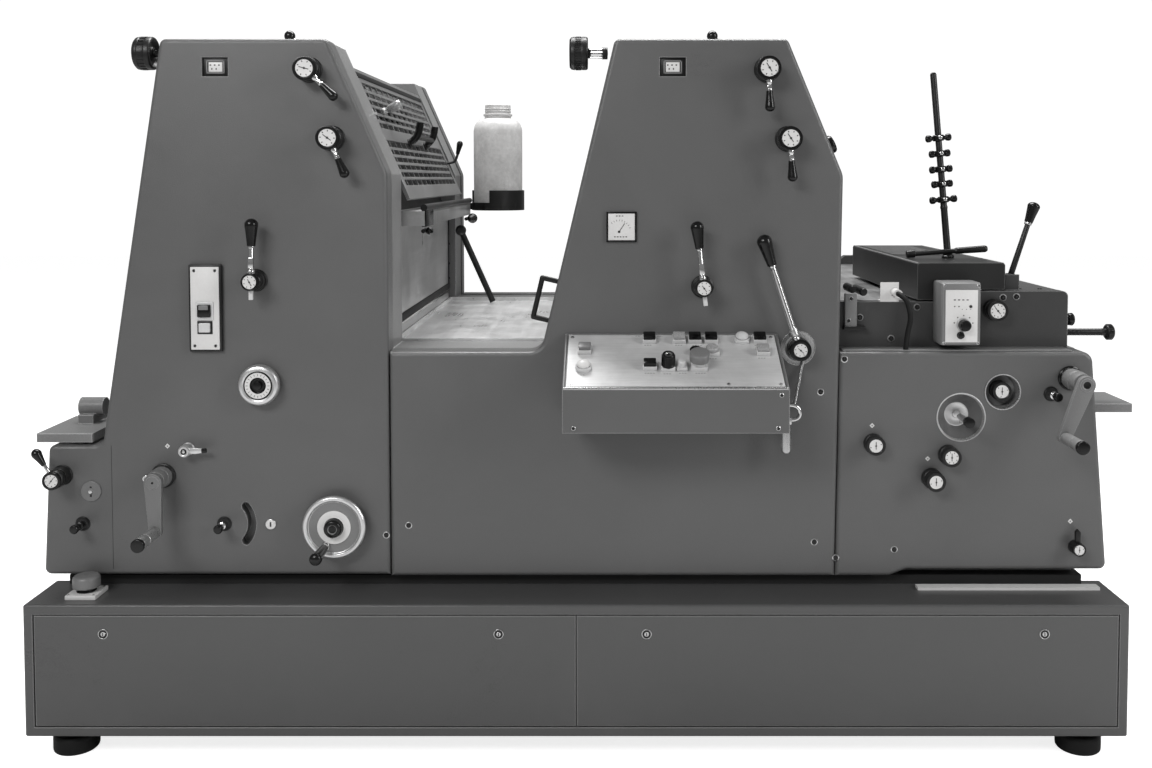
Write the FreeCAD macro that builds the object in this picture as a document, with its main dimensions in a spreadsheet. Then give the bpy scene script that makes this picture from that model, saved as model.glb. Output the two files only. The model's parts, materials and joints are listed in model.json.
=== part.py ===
"""Two-colour sheet-fed offset printing press, in millimetres.

X runs along the press from the delivery end (-X) to the feeder end (+X), Y runs from the
operator's side (-Y) to the drive side (+Y), and Z is up from the floor. Lengths below are
measured from the middle of the base; every finished sub-part is then placed by the sheet's
origin_x and origin_y, which put the origin at the middle of the whole footprint.
"""
import FreeCAD, Part
import math
import os
import re
import Sketcher

from FreeCAD import Placement, Rotation, Vector

doc = FreeCAD.newDocument("printing_press")
sheet = doc.addObject("Spreadsheet::Sheet", "Dimensions")

DIMENSIONS = {
    # base: two long boxes on levelling feet, joined by a deck
    "base_length": 2280, "base_width": 1490, "base_bottom": 55, "base_height": 277,
    "side_box_depth": 145, "base_edge": 5, "panel_margin": 20, "panel_recess": 6,
    "panel_thickness": 5, "panel_gap": 3, "foot_radius": 46, "foot_inset_x": 74,
    "foot_inset_y": 71, "foot_pad": 38, "foot_neck_radius": 30,
    "deck_left": -640, "deck_right": 620, "deck_depth": 80,
    "plinth_height": 20, "plinth_left": -1100, "plinth_right": 1090, "plinth_setback": 30,
    # side covers and the frames behind them
    "cover_width": 1300, "cover_depth": 60, "cover_edge": 9, "cover_seam": 1.5,
    "cover_bottom": 362, "frame_depth": 126, "frame_inset": 3,
    "tower_top": 1502, "tower_corner": 14, "kink_radius": 40, "body_top": 841,
    "delivery_left": -1141, "delivery_lean": 15, "ledge_top": 641, "ledge_right": -1012,
    "ledge_radius": 20, "tower_one_left": -875, "tower_one_right": -524,
    "kink_one_x": -401, "kink_one_z": 1221, "seam_one_x": -399,
    "tower_two_foot": -77, "tower_two_left": 80, "tower_two_right": 443,
    "kink_two_x": 562, "kink_two_z": 1216, "seam_two_x": 551, "saddle_radius": 34,
    "feeder_right": 1132, "feeder_lean": 38, "feeder_bottom": 373, "notch_left": 667,
    "notch_right": 704, "feeder_corner": 24,
    # things between the frames
    "running_gap": 0.4, "seat_gap": 0.3, "sheet_metal": 4, "core_top": 1370,
    "core_inset": 26, "guard_length": 326, "guard_thickness": 8, "guard_top_x": -515,
    "guard_top_z": 1452, "guard_slope": 66.5, "guard_rim": 34, "guard_bar": 30,
    "guard_side_gap": 6, "guard_pin": 5, "grille_wire": 7, "grille_pitch": 20, "grille_rib_pitch": 76,
    "ledge_depth": 46, "ledge_bottom": 1100, "ledge_height": 34,
    "apron_side_gap": 24, "drop_radius": 6, "drop_length": 46, "tray_floor": 6,
    "tray_level": 833, "tray_rim": 11, "roller_radius": 38, "roller_top": 1466, "fountain_height": 90,
    "fountain_width": 120,
    # delivery end
    "shelf_left": -1152, "shelf_thickness": 19, "shelf_depth": 186, "shelf_lift": 6,
    "pile_board": 18, "delivery_board_z": 400, "feeder_board_z": 700,
    # feeder
    "side_plate_top": 965, "side_plate_step": 942, "side_plate_step_x": 786,
    "side_plate_left": 566, "side_plate_right": 1063, "side_plate_thickness": 30,
    "side_plate_corner": 12, "feed_table_thickness": 8, "end_cover_left": 932,
    "head_left": 736, "head_right": 926, "head_length": 660,
    "head_bottom": 969, "head_drop": 946, "head_top": 1026, "head_step_x": 781,
    "mast_x": 850, "mast_setback": 165, "mast_radius": 8, "mast_length": 426, "mast_lean": 5.3,
    "tee_length": 170, "tee_radius": 6, "clamp_radius": 5, "clamp_head": 8.5, "clamp_head_length": 15,
    "feeder_shelf_right": 1207, "feeder_shelf_z": 700, "feeder_shelf_depth": 140,
    "end_screw_radius": 8, "end_screw_length": 108, "end_screw_z": 868,
    "end_knob_radius": 17, "end_knob_length": 16,
    "control_left": 769, "control_right": 855, "control_bottom": 855, "control_top": 990,
    "control_depth": 66, "control_plate": 2, "lead_radius": 5.5,
    # console and panels on the operator's side
    "console_left": -25, "console_right": 424, "console_bottom": 706, "console_front": 793,
    "console_back": 880, "console_depth": 175, "console_plate": 2, "console_margin": 8,
    "button_size": 28, "button_height": 12, "dome_radius": 16, "mushroom_radius": 20,
    "switch_left": -819, "switch_bottom": 843, "switch_width": 70, "switch_height": 185,
    "switch_depth": 12, "gauge_left": 62, "gauge_bottom": 1075, "gauge_size": 64,
    "gauge_depth": 5, "window_width": 55, "window_height": 40, "window_depth": 7,
    "window_one_x": -787, "window_two_x": 174, "window_z": 1423,
    "estop_x": -1033, "estop_setback": 58, "estop_size": 64, "estop_plate": 10,
    "estop_cap_radius": 28, "estop_cap_height": 26, "estop_stem": 12,
    "rail_left": 726, "rail_right": 1114, "rail_width": 22, "rail_height": 6,
    "rail_setback": 85,
    # hand controls: places of their axes
    "lever_one_x": -678, "lever_one_z": 994, "lever_two_x": 265, "lever_two_z": 981,
    "lever_three_x": 468, "lever_three_z": 850, "dial_one_x": -560, "dial_one_z": 1436,
    "dial_two_x": -514, "dial_two_z": 1293, "dial_three_x": 398, "dial_three_z": 1437,
    "dial_four_x": 443, "dial_four_z": 1292, "crank_one_x": -881, "crank_one_z": 577,
    "crank_two_x": 1046, "crank_two_z": 786, "wheel_x": -513, "wheel_z": 473,
    "side_wheel_x": -670, "side_wheel_z": 774, "ball_lever_x": -1096, "ball_lever_z": 578,
    "tap_x": -828, "tap_z": 634, "ink_wheel_z": 1484,
    "top_lever_one_x": -635, "top_lever_two_x": 295, "top_lever_radius": 5, "top_ball_radius": 12,
    "feeder_lever_x": 950, "feeder_lever_setback": 40, "feeder_lever_z": 985,
    # hand controls: sizes
    "boss_radius": 22, "boss_length": 24, "dial_radius": 26,
    "dial_rod": 4.5, "dial_reach": 90, "dial_grip": 10, "dial_grip_length": 44,
    "lever_hub": 18, "lever_hub_depth": 26, "lever_rod": 6.5, "lever_one_reach": 132,
    "lever_two_reach": 140, "lever_three_reach": 254, "lever_two_lean": -6.4,
    "lever_three_lean": -18.4, "lever_grip": 14, "lever_grip_length": 58,
    "lever_disc": 37, "crank_arm": 104, "crank_two_arm": 117, "crank_two_lean": 21.5,
    "crank_hub": 19, "crank_end": 13, "crank_thickness": 12, "crank_grip": 14,
    "crank_grip_length": 92, "crank_one_boss": 50, "crank_two_boss": 76,
    "wheel_radius": 67, "wheel_depth": 30, "wheel_grip": 13, "wheel_grip_length": 84,
    "wheel_grip_reach": 44, "wheel_grip_turn": 204, "side_wheel_radius": 43,
    "side_wheel_depth": 24, "ink_wheel_radius": 37, "ink_wheel_depth": 40,
    "ink_stub_radius": 11, "ink_wheel_gap": 58, "knob_radius": 22,
    "dish_radius": 52, "dish_depth": 40, "dish_x": 816, "dish_z": 702,
    "cup_radius": 38, "cup_depth": 32, "cup_x": 904, "cup_z": 756,
    "slot_centre_x": -753, "slot_centre_z": 473, "slot_radius": 59, "slot_width": 18,
    "slot_angle": 78, "slot_depth": 24,
    "bottle_x": -280, "bottle_setback": 45, "bottle_radius": 79, "bottle_bottom": 1110,
    "bottle_height": 325, "bottle_neck": 41, "bottle_neck_height": 34, "holder_height": 62,
    "prop_radius": 9, "grab_radius": 5.5, "grab_height": 86, "grab_reach": 34,
    "grab_z": 947, "handle_radius": 7, "handle_reach": 46, "handle_width": 250,
}

for row, (alias, size) in enumerate(DIMENSIONS.items(), start=1):
    sheet.set("A%d" % row, alias)
    sheet.set("B%d" % row, str(size))
    sheet.setAlias("B%d" % row, alias)

DERIVED = {
    "base_top": "base_bottom + base_height",
    "plinth_top": "base_top + plinth_height",
    "cover_face": "cover_width / 2",
    "frame_face": "cover_face - cover_depth",
    "frame_back": "frame_face - frame_depth",
    "feeder_lever_y": "feeder_lever_setback - frame_face",
    "mast_y": "mast_setback - frame_face",
    "bottle_y": "frame_face - bottle_setback",
    "console_slope": "atan((console_back - console_front) / console_depth)",
    "seam_two_top": "seam_two_x + (kink_two_x - seam_two_x) * (body_top - cover_bottom + 3)"
                    " / (kink_two_z - cover_bottom + 3)",
    "frame_right": "feeder_right - feeder_lean - frame_inset - 12",
    "front_reach": "cover_face + crank_two_boss + running_gap + crank_thickness + crank_grip_length",
    "origin_x": "-(shelf_left + feeder_shelf_right) / 2",
    "origin_y": "(front_reach - base_width / 2) / 2",
}


def cells(text):
    """The same expression with each alias read from the sheet."""
    known = lambda word: "Dimensions." + word.group(0) if word.group(0) in ALIASES else word.group(0)
    return re.sub(r"[a-z][a-z0-9_]*", known, str(text))


ALIASES = set(DIMENSIONS)
for row, (alias, formula) in enumerate(DERIVED.items(), start=len(DIMENSIONS) + 1):
    sheet.set("A%d" % row, alias)
    sheet.set("B%d" % row, "=" + re.sub(r"Dimensions\.", "", cells(formula)))
    sheet.setAlias("B%d" % row, alias)
    ALIASES.add(alias)
doc.recompute()

PARTS = {}


def number(text):
    """The value that an expression on the sheet's cells has now."""
    result = sheet.evalExpression(cells(text))
    return float(getattr(result, "Value", result))


def bind(item, sizes):
    for prop, text in sizes.items():
        item.setExpression(prop, cells(text))
    return item


def place(item, at, axis=None, angle=None):
    """Bind where an object stands, and turn it about one axis."""
    if axis:
        item.Placement = Placement(Vector(), Rotation(Vector(*axis), 1))
        bind(item, {"Placement.Rotation.Angle": "(%s) * 1deg" % angle})
    return bind(item, dict(zip(("Placement.Base.x", "Placement.Base.y", "Placement.Base.z"), at)))


TURNS = {"+z": (None, None), "-z": ((1, 0, 0), 180), "-y": ((1, 0, 0), 90),
         "+y": ((1, 0, 0), -90), "+x": ((0, 1, 0), 90), "-x": ((0, 1, 0), -90)}


def box(name, size, at):
    item = doc.addObject("Part::Box", name)
    return place(bind(item, dict(zip(("Length", "Width", "Height"), size))), at)


def slab(name, low, high):
    """A box between two opposite corners."""
    size = ["(%s) - (%s)" % (b, a) for a, b in zip(low, high)]
    return box(name, size, low)


def rod(name, radius, length, at, way="-y"):
    item = doc.addObject("Part::Cylinder", name)
    return place(bind(item, {"Radius": radius, "Height": length}), at, *TURNS[way])


def cone(name, start, end, length, at, way="-y"):
    item = doc.addObject("Part::Cone", name)
    return place(bind(item, {"Radius1": start, "Radius2": end, "Height": length}), at, *TURNS[way])


def ball(name, radius, at):
    return place(bind(doc.addObject("Part::Sphere", name), {"Radius": radius}), at)


def fuse(name, pieces):
    item = doc.addObject("Part::MultiFuse", name)
    item.Shapes = pieces
    return item


def cut(name, base, tools):
    item = doc.addObject("Part::Cut", name)
    item.Base = base
    item.Tool = tools[0] if len(tools) == 1 else fuse(name + "_tools", tools)
    return item


def group(name, pieces):
    item = doc.addObject("Part::Compound", name)
    item.Links = pieces
    return item


def finish(label, item, at=("0", "0", "0"), axis=None, angle=None):
    """Place a finished sub-part in the row's frame, under its own name."""
    if any("Placement" in path for path, text in item.ExpressionEngine):
        item = group(label + "_set", [item])
    item.Label = label
    x, y, z = at
    place(item, ("origin_x + (%s)" % x, "origin_y + (%s)" % y, z), axis, angle)
    PARTS[label] = item
    return item


def sketch_loop(body, name, plane, points):
    """A closed outline of straight lines, each corner bound to the sheet."""
    sketch = body.newObject("Sketcher::SketchObject", name)
    origin_plane = [o for o in body.Origin.OriginFeatures if o.Role == plane][0]
    sketch.AttachmentSupport = [(origin_plane, "")]
    sketch.MapMode = "FlatFace"
    spots = [Vector(number(u), number(v), 0) for u, v in points]
    count = len(spots)
    for i in range(count):
        sketch.addGeometry(Part.LineSegment(spots[i], spots[(i + 1) % count]), False)
    for i in range(count):
        sketch.addConstraint(Sketcher.Constraint("Coincident", i, 2, (i + 1) % count, 1))
    for i, (u, v) in enumerate(points):
        for kind, text, at in (("DistanceX", u, spots[i].x), ("DistanceY", v, spots[i].y)):
            row = sketch.addConstraint(Sketcher.Constraint(kind, -1, 1, i, 1, at))
            sketch.setExpression("Constraints[%d]" % row, cells(text))
    return sketch


def edges(shape, test):
    return ["Edge%d" % (i + 1) for i, edge in enumerate(shape.Edges) if test(edge)]


def round_off(body, name, base, names, radius):
    fillet = body.newObject("PartDesign::Fillet", name)
    fillet.Base = (base, names)
    bind(fillet, {"Radius": radius})
    doc.recompute()
    return fillet


def prism(name, points, depth, plane="XZ_Plane", corners=(), rim=None, rim_side="end"):
    """A padded outline: corners rounds single corners, rim rounds the outer face all round."""
    body = doc.addObject("PartDesign::Body", name)
    sketch = sketch_loop(body, name + "_outline", plane, points)
    pad = body.newObject("PartDesign::Pad", name + "_pad")
    pad.Profile = sketch
    bind(pad, {"Length": depth})
    doc.recompute()
    last = pad
    axis = 1 if plane == "XZ_Plane" else 0
    flat = (0, 2) if plane == "XZ_Plane" else (1, 2)
    for spots, radius in corners:
        wanted = [(number(points[i][0]), number(points[i][1])) for i in spots]

        def at_corner(edge):
            ends = [v.Point for v in edge.Vertexes]
            if len(ends) < 2 or abs(ends[0][axis] - ends[1][axis]) < 1:
                return False
            return any(all(abs(p[flat[0]] - u) + abs(p[flat[1]] - v) < 0.01 for p in ends)
                       for u, v in wanted)
        last = round_off(body, "%s_corner_%d" % (name, spots[0]), last,
                         edges(last.Shape, at_corner), radius)
    if rim:
        span = [v.Point[axis] for v in pad.Shape.Vertexes]
        face = min(span) if rim_side == "end" else max(span)
        on_face = lambda edge: all(abs(v.Point[axis] - face) < 0.01 for v in edge.Vertexes)
        last = round_off(body, name + "_rim", last, edges(last.Shape, on_face), rim)
    return body


# ---------------------------------------------------------------- base
def side_box(label, sign):
    """One long box of the base, with a shallow recess for its two panels."""
    half = "base_length / 2"
    outline = [("-" + half, "base_bottom"), (half, "base_bottom"), (half, "base_top"),
               ("-" + half, "base_top")]
    solid = prism(label + "_solid", outline, "side_box_depth", corners=[((0, 1, 2, 3), "base_edge")],
                  rim="base_edge", rim_side="end" if sign < 0 else "start")
    back = "-base_width / 2 + side_box_depth" if sign < 0 else "base_width / 2"
    place(solid, ("0", back, "0"))
    face = "%d * base_width / 2" % sign
    inner = "%s - %d * panel_recess" % (face, sign)
    low, high = (face, inner) if sign < 0 else (inner, face)
    recess = slab(label + "_recess", ("-%s + panel_margin" % half, low, "base_bottom + panel_margin"),
                  ("%s - panel_margin" % half, high, "base_top - panel_margin"))
    finish(label, cut(label + "_cut", solid, [recess]))


def base_panels():
    """Two screwed panels a side, lying in the recess of their box."""
    panels = []
    for sign in (-1, 1):
        low, high = "base_width / 2 - panel_recess", "base_width / 2 - panel_recess + panel_thickness"
        if sign < 0:
            low, high = "-(%s)" % high, "-(%s)" % low
        for start, end in (("-base_length / 2 + panel_margin + panel_gap", "-panel_gap / 2"),
                           ("panel_gap / 2", "base_length / 2 - panel_margin - panel_gap")):
            panels.append(slab("panel", (start, low, "base_bottom + panel_margin + panel_gap"),
                               (end, high, "base_top - panel_margin - panel_gap")))
    finish("base_panels", group("base_panels_set", panels))


def feet():
    """Four levelling feet: a rubber pad under a short neck."""
    solids = []
    for along in (-1, 1):
        for across in (-1, 1):
            at = ("%d * (base_length / 2 - foot_inset_x)" % along,
                  "%d * (base_width / 2 - foot_inset_y)" % across)
            pad = rod("foot_pad", "foot_radius", "foot_pad", at + ("0",), "+z")
            neck = rod("foot_neck", "foot_neck_radius", "base_bottom - foot_pad", at + ("foot_pad",), "+z")
            solids.append(fuse("foot", [pad, neck]))
    finish("levelling_feet", group("feet_set", solids))


def base_deck():
    """Deck between the two boxes, with a plinth rail under each side frame."""
    inner = "base_width / 2 - side_box_depth"
    deck = slab("deck_plate", ("deck_left", "-(%s)" % inner, "base_top - deck_depth"),
                ("deck_right", inner, "base_top"))
    rails = []
    for sign in (-1, 1):
        low, high = "cover_face - plinth_setback", "frame_back"
        near, far = ("-(%s)" % low, "-(%s)" % high) if sign < 0 else (high, low)
        rails.append(slab("plinth_rail", ("plinth_left", near, "base_top"),
                          ("plinth_right", far, "plinth_top")))
    finish("base_deck", fuse("base_deck_whole", [deck] + rails))


def base_rail():
    """Bright guide rail lying on the base under the feeder."""
    front = "-base_width / 2 + rail_setback"
    finish("base_rail", box("rail_bar", ("rail_right - rail_left", "rail_width", "rail_height"),
                            ("0", "0", "0")), ("rail_left", front, "base_top"))


def emergency_stop():
    """Mushroom stop button on a square plate at the delivery end of the base."""
    half = "estop_size / 2"
    plate = slab("estop_plate_block", ("-" + half, "-" + half, "0"), (half, half, "estop_plate"))
    stem = rod("estop_stem_post", "estop_cap_radius / 2", "estop_stem", ("0", "0", "estop_plate"), "+z")
    head = rod("estop_head", "estop_cap_radius", "estop_cap_height",
               ("0", "0", "estop_plate + estop_stem - 4"), "+z")
    finish("emergency_stop", fuse("estop_whole", [plate, stem, head]),
           ("estop_x", "-base_width / 2 + estop_setback", "base_top"))


# ---------------------------------------------------------------- outlines shared by covers and frames
def delivery_outline(inset):
    """Unit one: a low ledge at the delivery end and the first tower."""
    return [("delivery_left + %s" % inset, "cover_bottom + %s" % inset),
            ("seam_one_x - cover_seam / 2 - %s" % inset, "cover_bottom + %s" % inset),
            ("kink_one_x - %s" % inset, "kink_one_z - %s" % inset),
            ("tower_one_right - %s" % inset, "tower_top - %s" % inset),
            ("tower_one_left + %s" % inset, "tower_top - %s" % inset),
            ("ledge_right + %s" % inset, "ledge_top"),
            ("delivery_left + delivery_lean + %s" % inset, "ledge_top - %s" % inset)]


def printing_outline():
    """The low cover between the towers and the second tower."""
    return [("seam_one_x + cover_seam / 2", "cover_bottom - 3"),
            ("seam_two_x - cover_seam / 2", "cover_bottom - 3"),
            ("kink_two_x", "kink_two_z"), ("tower_two_right", "tower_top"),
            ("tower_two_left", "tower_top"), ("tower_two_foot", "body_top"),
            ("seam_one_x + cover_seam / 2", "body_top")]


def feeder_outline():
    """The low cover at the feeder end, raised a little past a notch."""
    return [("seam_two_x + cover_seam / 2", "cover_bottom - 3"), ("notch_left", "cover_bottom - 3"),
            ("notch_right", "feeder_bottom"), ("feeder_right", "feeder_bottom"),
            ("feeder_right - feeder_lean", "body_top"), ("seam_two_top + cover_seam / 2", "body_top")]


OUTLINES = {"delivery": (lambda: delivery_outline("0"),
                         [((0, 3, 4, 6), "tower_corner"), ((5,), "ledge_radius"), ((2,), "kink_radius")]),
            "printing": (printing_outline,
                         [((3, 4), "tower_corner"), ((5,), "saddle_radius"), ((2,), "kink_radius")]),
            "feeder": (feeder_outline, [((3,), "tower_corner"), ((4,), "feeder_corner")])}


def cover(name, which, sign):
    outline, corners = OUTLINES[which]
    side = prism(name, outline(), "cover_depth", corners=corners, rim="cover_edge",
                 rim_side="end" if sign < 0 else "start")
    return place(side, ("0", "-frame_face" if sign < 0 else "cover_face", "0"))


def sector_slot(name):
    """A curved slot: a ring sector with round ends, sunk into the cover's face."""
    outer = bind(rod(name + "_outer", "slot_radius + slot_width / 2", "slot_depth", ("0", "0", "0")),
                 {"Angle": "slot_angle"})
    inner = rod(name + "_inner", "slot_radius - slot_width / 2", "slot_depth", ("0", "0", "0"))
    ring = cut(name + "_ring", outer, [inner])
    ends = []
    for turn in ("0", "slot_angle"):
        at = ("slot_radius * cos(%s * 1deg)" % turn, "0", "slot_radius * sin(%s * 1deg)" % turn)
        ends.append(rod(name + "_end", "slot_width / 2", "slot_depth", at))
    whole = fuse(name, [ring] + ends)
    return place(whole, ("slot_centre_x", "-cover_face + slot_depth", "slot_centre_z"),
                 (0, 1, 0), "slot_angle / 2")


def window(name, left):
    return box(name, ("window_width", "window_depth", "window_height"), (left, "-cover_face", "window_z"))


def covers():
    """Front covers with their recesses, and plain ones on the drive side."""
    delivery = cover("delivery_front", "delivery", -1)
    finish("cover_delivery", cut("cover_delivery_cut", delivery,
                                 [sector_slot("arc_slot"), window("window_one", "window_one_x")]))
    printing = cover("printing_front", "printing", -1)
    finish("cover_printing", cut("cover_printing_cut", printing, [window("window_two", "window_two_x")]))
    feeder = cover("feeder_front", "feeder", -1)
    dish = cone("dish_hollow", "knob_radius", "dish_radius", "dish_depth",
                ("dish_x", "-cover_face + dish_depth", "dish_z"))
    cup = rod("cup_hollow", "cup_radius", "cup_depth", ("cup_x", "-cover_face + cup_depth", "cup_z"))
    finish("cover_feeder", cut("cover_feeder_cut", feeder, [dish, cup]))
    drive_side = [cover(which + "_rear", which, 1) for which in OUTLINES]
    finish("covers_drive_side", group("covers_drive_set", drive_side))


def side_frames():
    """Cast side frames: one long plate a side that follows the covers' outline from inside."""
    low = "plinth_top"
    outline = [("plinth_left + frame_inset", low), ("frame_right", low), ("frame_right", "body_top"),
               ("seam_two_x - frame_inset", "body_top"),
               ("kink_two_x - frame_inset", "kink_two_z - frame_inset"),
               ("tower_two_right - frame_inset", "tower_top - frame_inset"),
               ("tower_two_left + frame_inset", "tower_top - frame_inset"),
               ("tower_two_foot + frame_inset", "body_top - frame_inset"),
               ("kink_one_x - frame_inset", "body_top - frame_inset"),
               ("kink_one_x - frame_inset", "kink_one_z - frame_inset"),
               ("tower_one_right - frame_inset", "tower_top - frame_inset"),
               ("tower_one_left + frame_inset", "tower_top - frame_inset"),
               ("ledge_right + frame_inset", "ledge_top - frame_inset"),
               ("plinth_left + frame_inset", "ledge_top - frame_inset")]
    for label, back in (("side_frame_operator", "-frame_back"), ("side_frame_drive", "frame_face")):
        plate = prism(label + "_plate", outline, "frame_depth")
        finish(label, plate, ("0", back, "0"))


# ---------------------------------------------------------------- between the frames
def across(name, outline):
    """A prism that fills the space between the two side frames."""
    return prism(name, outline, "2 * (frame_back - seat_gap)")


def inner_housing():
    """Closed body of the press between the frames: bed, two unit cores and the link between."""
    tray_base = "tray_level - tray_floor"
    outline = [("deck_left", "base_top"), ("deck_right - 80", "base_top"),
               ("kink_two_x - core_inset - 30", "kink_two_z - core_inset"),
               ("tower_two_right - core_inset", "core_top"), ("tower_two_left + core_inset", "core_top"),
               ("tower_two_foot + core_inset", tray_base),
               ("kink_one_x - core_inset", tray_base),
               ("kink_one_x - core_inset", "ledge_bottom"),
               ("tower_one_right - core_inset", "core_top"), ("tower_one_left + core_inset", "core_top"),
               ("ledge_right + core_inset + 22", "ledge_top + 60"), ("deck_left", "ledge_top + 60")]
    finish("inner_housing", across("inner_housing_body", outline), ("0", "frame_back - seat_gap", "0"))


def slope_guards(fixed_grille):
    """Plain sheet guards over the delivery side of each tower, and the second tower's grille."""
    sheets = [fixed_grille]
    rows = (("tower_one_left", "ledge_right", "ledge_top + 60", "ledge_top"),
            ("tower_two_left", "tower_two_foot", "body_top + 20", "body_top"))
    for top, foot, low, level in rows:
        lean = "((%s) - (%s)) / (tower_top - (%s))" % (top, foot, level)
        foot_x = "%s + (%s) * (%s - (%s)) + core_inset - 16" % (foot, lean, low, level)
        top_x = "%s - (%s) * (tower_top - core_top - 60) + core_inset - 16" % (top, lean)
        outline = [(foot_x, low), ("%s + sheet_metal" % foot_x, low),
                   ("%s + sheet_metal" % top_x, "core_top + 60"), (top_x, "core_top + 60")]
        sheets.append(place(across("slope_guard", outline), ("0", "frame_back - seat_gap", "0")))
    finish("slope_guards", group("slope_guards_set", sheets))


def grille(name):
    """Two rows of wire windows in a bordered plate, lying in its own XY plane from the hinge down."""
    width = "2 * (frame_back - guard_side_gap)"
    half = "frame_back - guard_side_gap"
    under = "-guard_thickness / 2"
    pieces = [box(name + "_side", ("guard_length", "guard_rim", "guard_thickness"),
                  ("-guard_pin - 3", y, under)) for y in ("-(%s)" % half, "%s - guard_rim" % half)]
    window_length = "(guard_length - 2 * guard_rim - guard_bar) / 2"
    top_rim = "guard_rim - guard_pin - 3"
    starts = (top_rim, "%s + guard_bar + %s" % (top_rim, window_length))
    for at, length in (("-guard_pin - 3", "guard_rim"), ("%s + %s" % (top_rim, window_length), "guard_bar"),
                       ("guard_length - guard_rim - guard_pin - 3", "guard_rim")):
        pieces.append(box(name + "_bar", (length, width, "guard_thickness"), (at, "-(%s)" % half, under)))
    pieces.append(rod(name + "_pin", "guard_pin", "2 * (frame_back - seat_gap)",
                      ("0", "frame_back - seat_gap", "0")))
    wires = int(number("%s / grille_pitch" % window_length))
    ribs = int(number("%s / grille_rib_pitch" % width))
    for start in starts:
        for i in range(1, wires + 1):
            at = "%s + %s * %d / %d - grille_wire / 2" % (start, window_length, i, wires + 1)
            pieces.append(box(name + "_wire", ("grille_wire", width, "grille_wire / 2"),
                              (at, "-(%s)" % half, "-grille_wire / 4")))
        for i in range(1, ribs + 1):
            y = "-(%s) + %s * %d / %d" % (half, width, i, ribs + 1)
            pieces.append(box(name + "_rib", (window_length, "grille_wire / 2", "grille_wire / 2 + 1"),
                              (start, y, "-grille_wire / 4 - 0.5")))
    return fuse(name, pieces)


GUARD_AT = ("guard_top_x", "0", "guard_top_z")


def guards():
    """Grille guards over the feeder side of each tower; the first carries its grab bar."""
    finish("guard_grille", grille("guard_one"), GUARD_AT, (0, 1, 0), "guard_slope")
    shift = "tower_two_right - tower_one_right"
    fixed = place(grille("guard_two"), ("guard_top_x + %s" % shift, "0", "guard_top_z"),
                  (0, 1, 0), "guard_slope")
    half = "handle_width / 2"
    middle = "guard_length / 2"
    top = "guard_thickness / 2"
    arms = [rod("handle_arm", "handle_radius", "handle_reach", (middle, y, top), "+z")
            for y in ("-" + half, half)]
    grip = rod("handle_grip", "handle_radius + 3", "handle_width + 2 * handle_radius",
               (middle, "-%s - handle_radius" % half, "%s + handle_reach" % top), "+y")
    finish("guard_handle", fuse("guard_handle_whole", arms + [grip]), GUARD_AT, (0, 1, 0), "guard_slope")
    return fixed


def inking():
    """Ink fountain and the rollers that show from above in each tower."""
    troughs, rollers = [], []
    for top_left in ("tower_one_left", "tower_two_left"):
        left = top_left + " + 40"
        outline = [(left, "core_top"), (left + " + fountain_width", "core_top"),
                   (left + " + 60", "core_top + fountain_height"),
                   (left, "core_top + fountain_height")]
        troughs.append(place(across("fountain", outline), ("0", "frame_back - seat_gap", "0")))
        for i in range(2):
            x = "%s + fountain_width + roller_radius * %s + 16" % (left, (0.6, 2.9)[i])
            rollers.append(rod("ink_roller", "roller_radius", "2 * (frame_back - seat_gap)",
                               (x, "frame_back - seat_gap", "roller_top - roller_radius - %d" % (20 * i))))
    finish("ink_fountains", group("ink_fountains_set", troughs))
    finish("ink_rollers", group("ink_rollers_set", rollers))


def apron():
    """Sheet below the first grille, with a ledge on top and a drop-shaped finger hole."""
    wall = "kink_one_x - core_inset"
    half = "(frame_back - apron_side_gap)"
    plate = slab("apron_plate", (wall, "-" + half, "tray_level"),
                 ("%s + sheet_metal" % wall, half, "ledge_bottom"))
    shelf = slab("apron_shelf", (wall, "-" + half, "ledge_bottom"),
                 ("%s + core_inset + ledge_depth" % wall, half, "ledge_bottom + ledge_height"))
    middle = "ledge_bottom - 60"
    drop_round = rod("drop_round", "drop_radius", "sheet_metal * 3",
                     ("%s - sheet_metal" % wall, "-50", middle), "+x")
    drop_slot = box("drop_slot", ("sheet_metal * 3", "drop_radius", "drop_length"),
                    ("%s - sheet_metal" % wall, "-50 - drop_radius / 2", middle))
    finish("apron", cut("apron_whole", fuse("apron_sheet", [plate, shelf]), [drop_round, drop_slot]))


def tray():
    """Bright sheet-metal tray over the link between the towers, with a low rim all round."""
    low = "tray_level"
    left, right = "kink_one_x - core_inset + sheet_metal + 1", "tower_two_foot + 20"
    half = "frame_back - 2"
    whole = slab("tray_block", (left, "-(%s)" % half, low + " - tray_floor"),
                 (right, half, low + " + tray_rim"))
    hollow = slab("tray_hollow", (left + " + sheet_metal", "-(%s) + sheet_metal" % half, low),
                  (right + " - sheet_metal", half + " - sheet_metal", low + " + tray_rim"))
    finish("tray", cut("tray_whole", whole, [hollow]))


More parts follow.
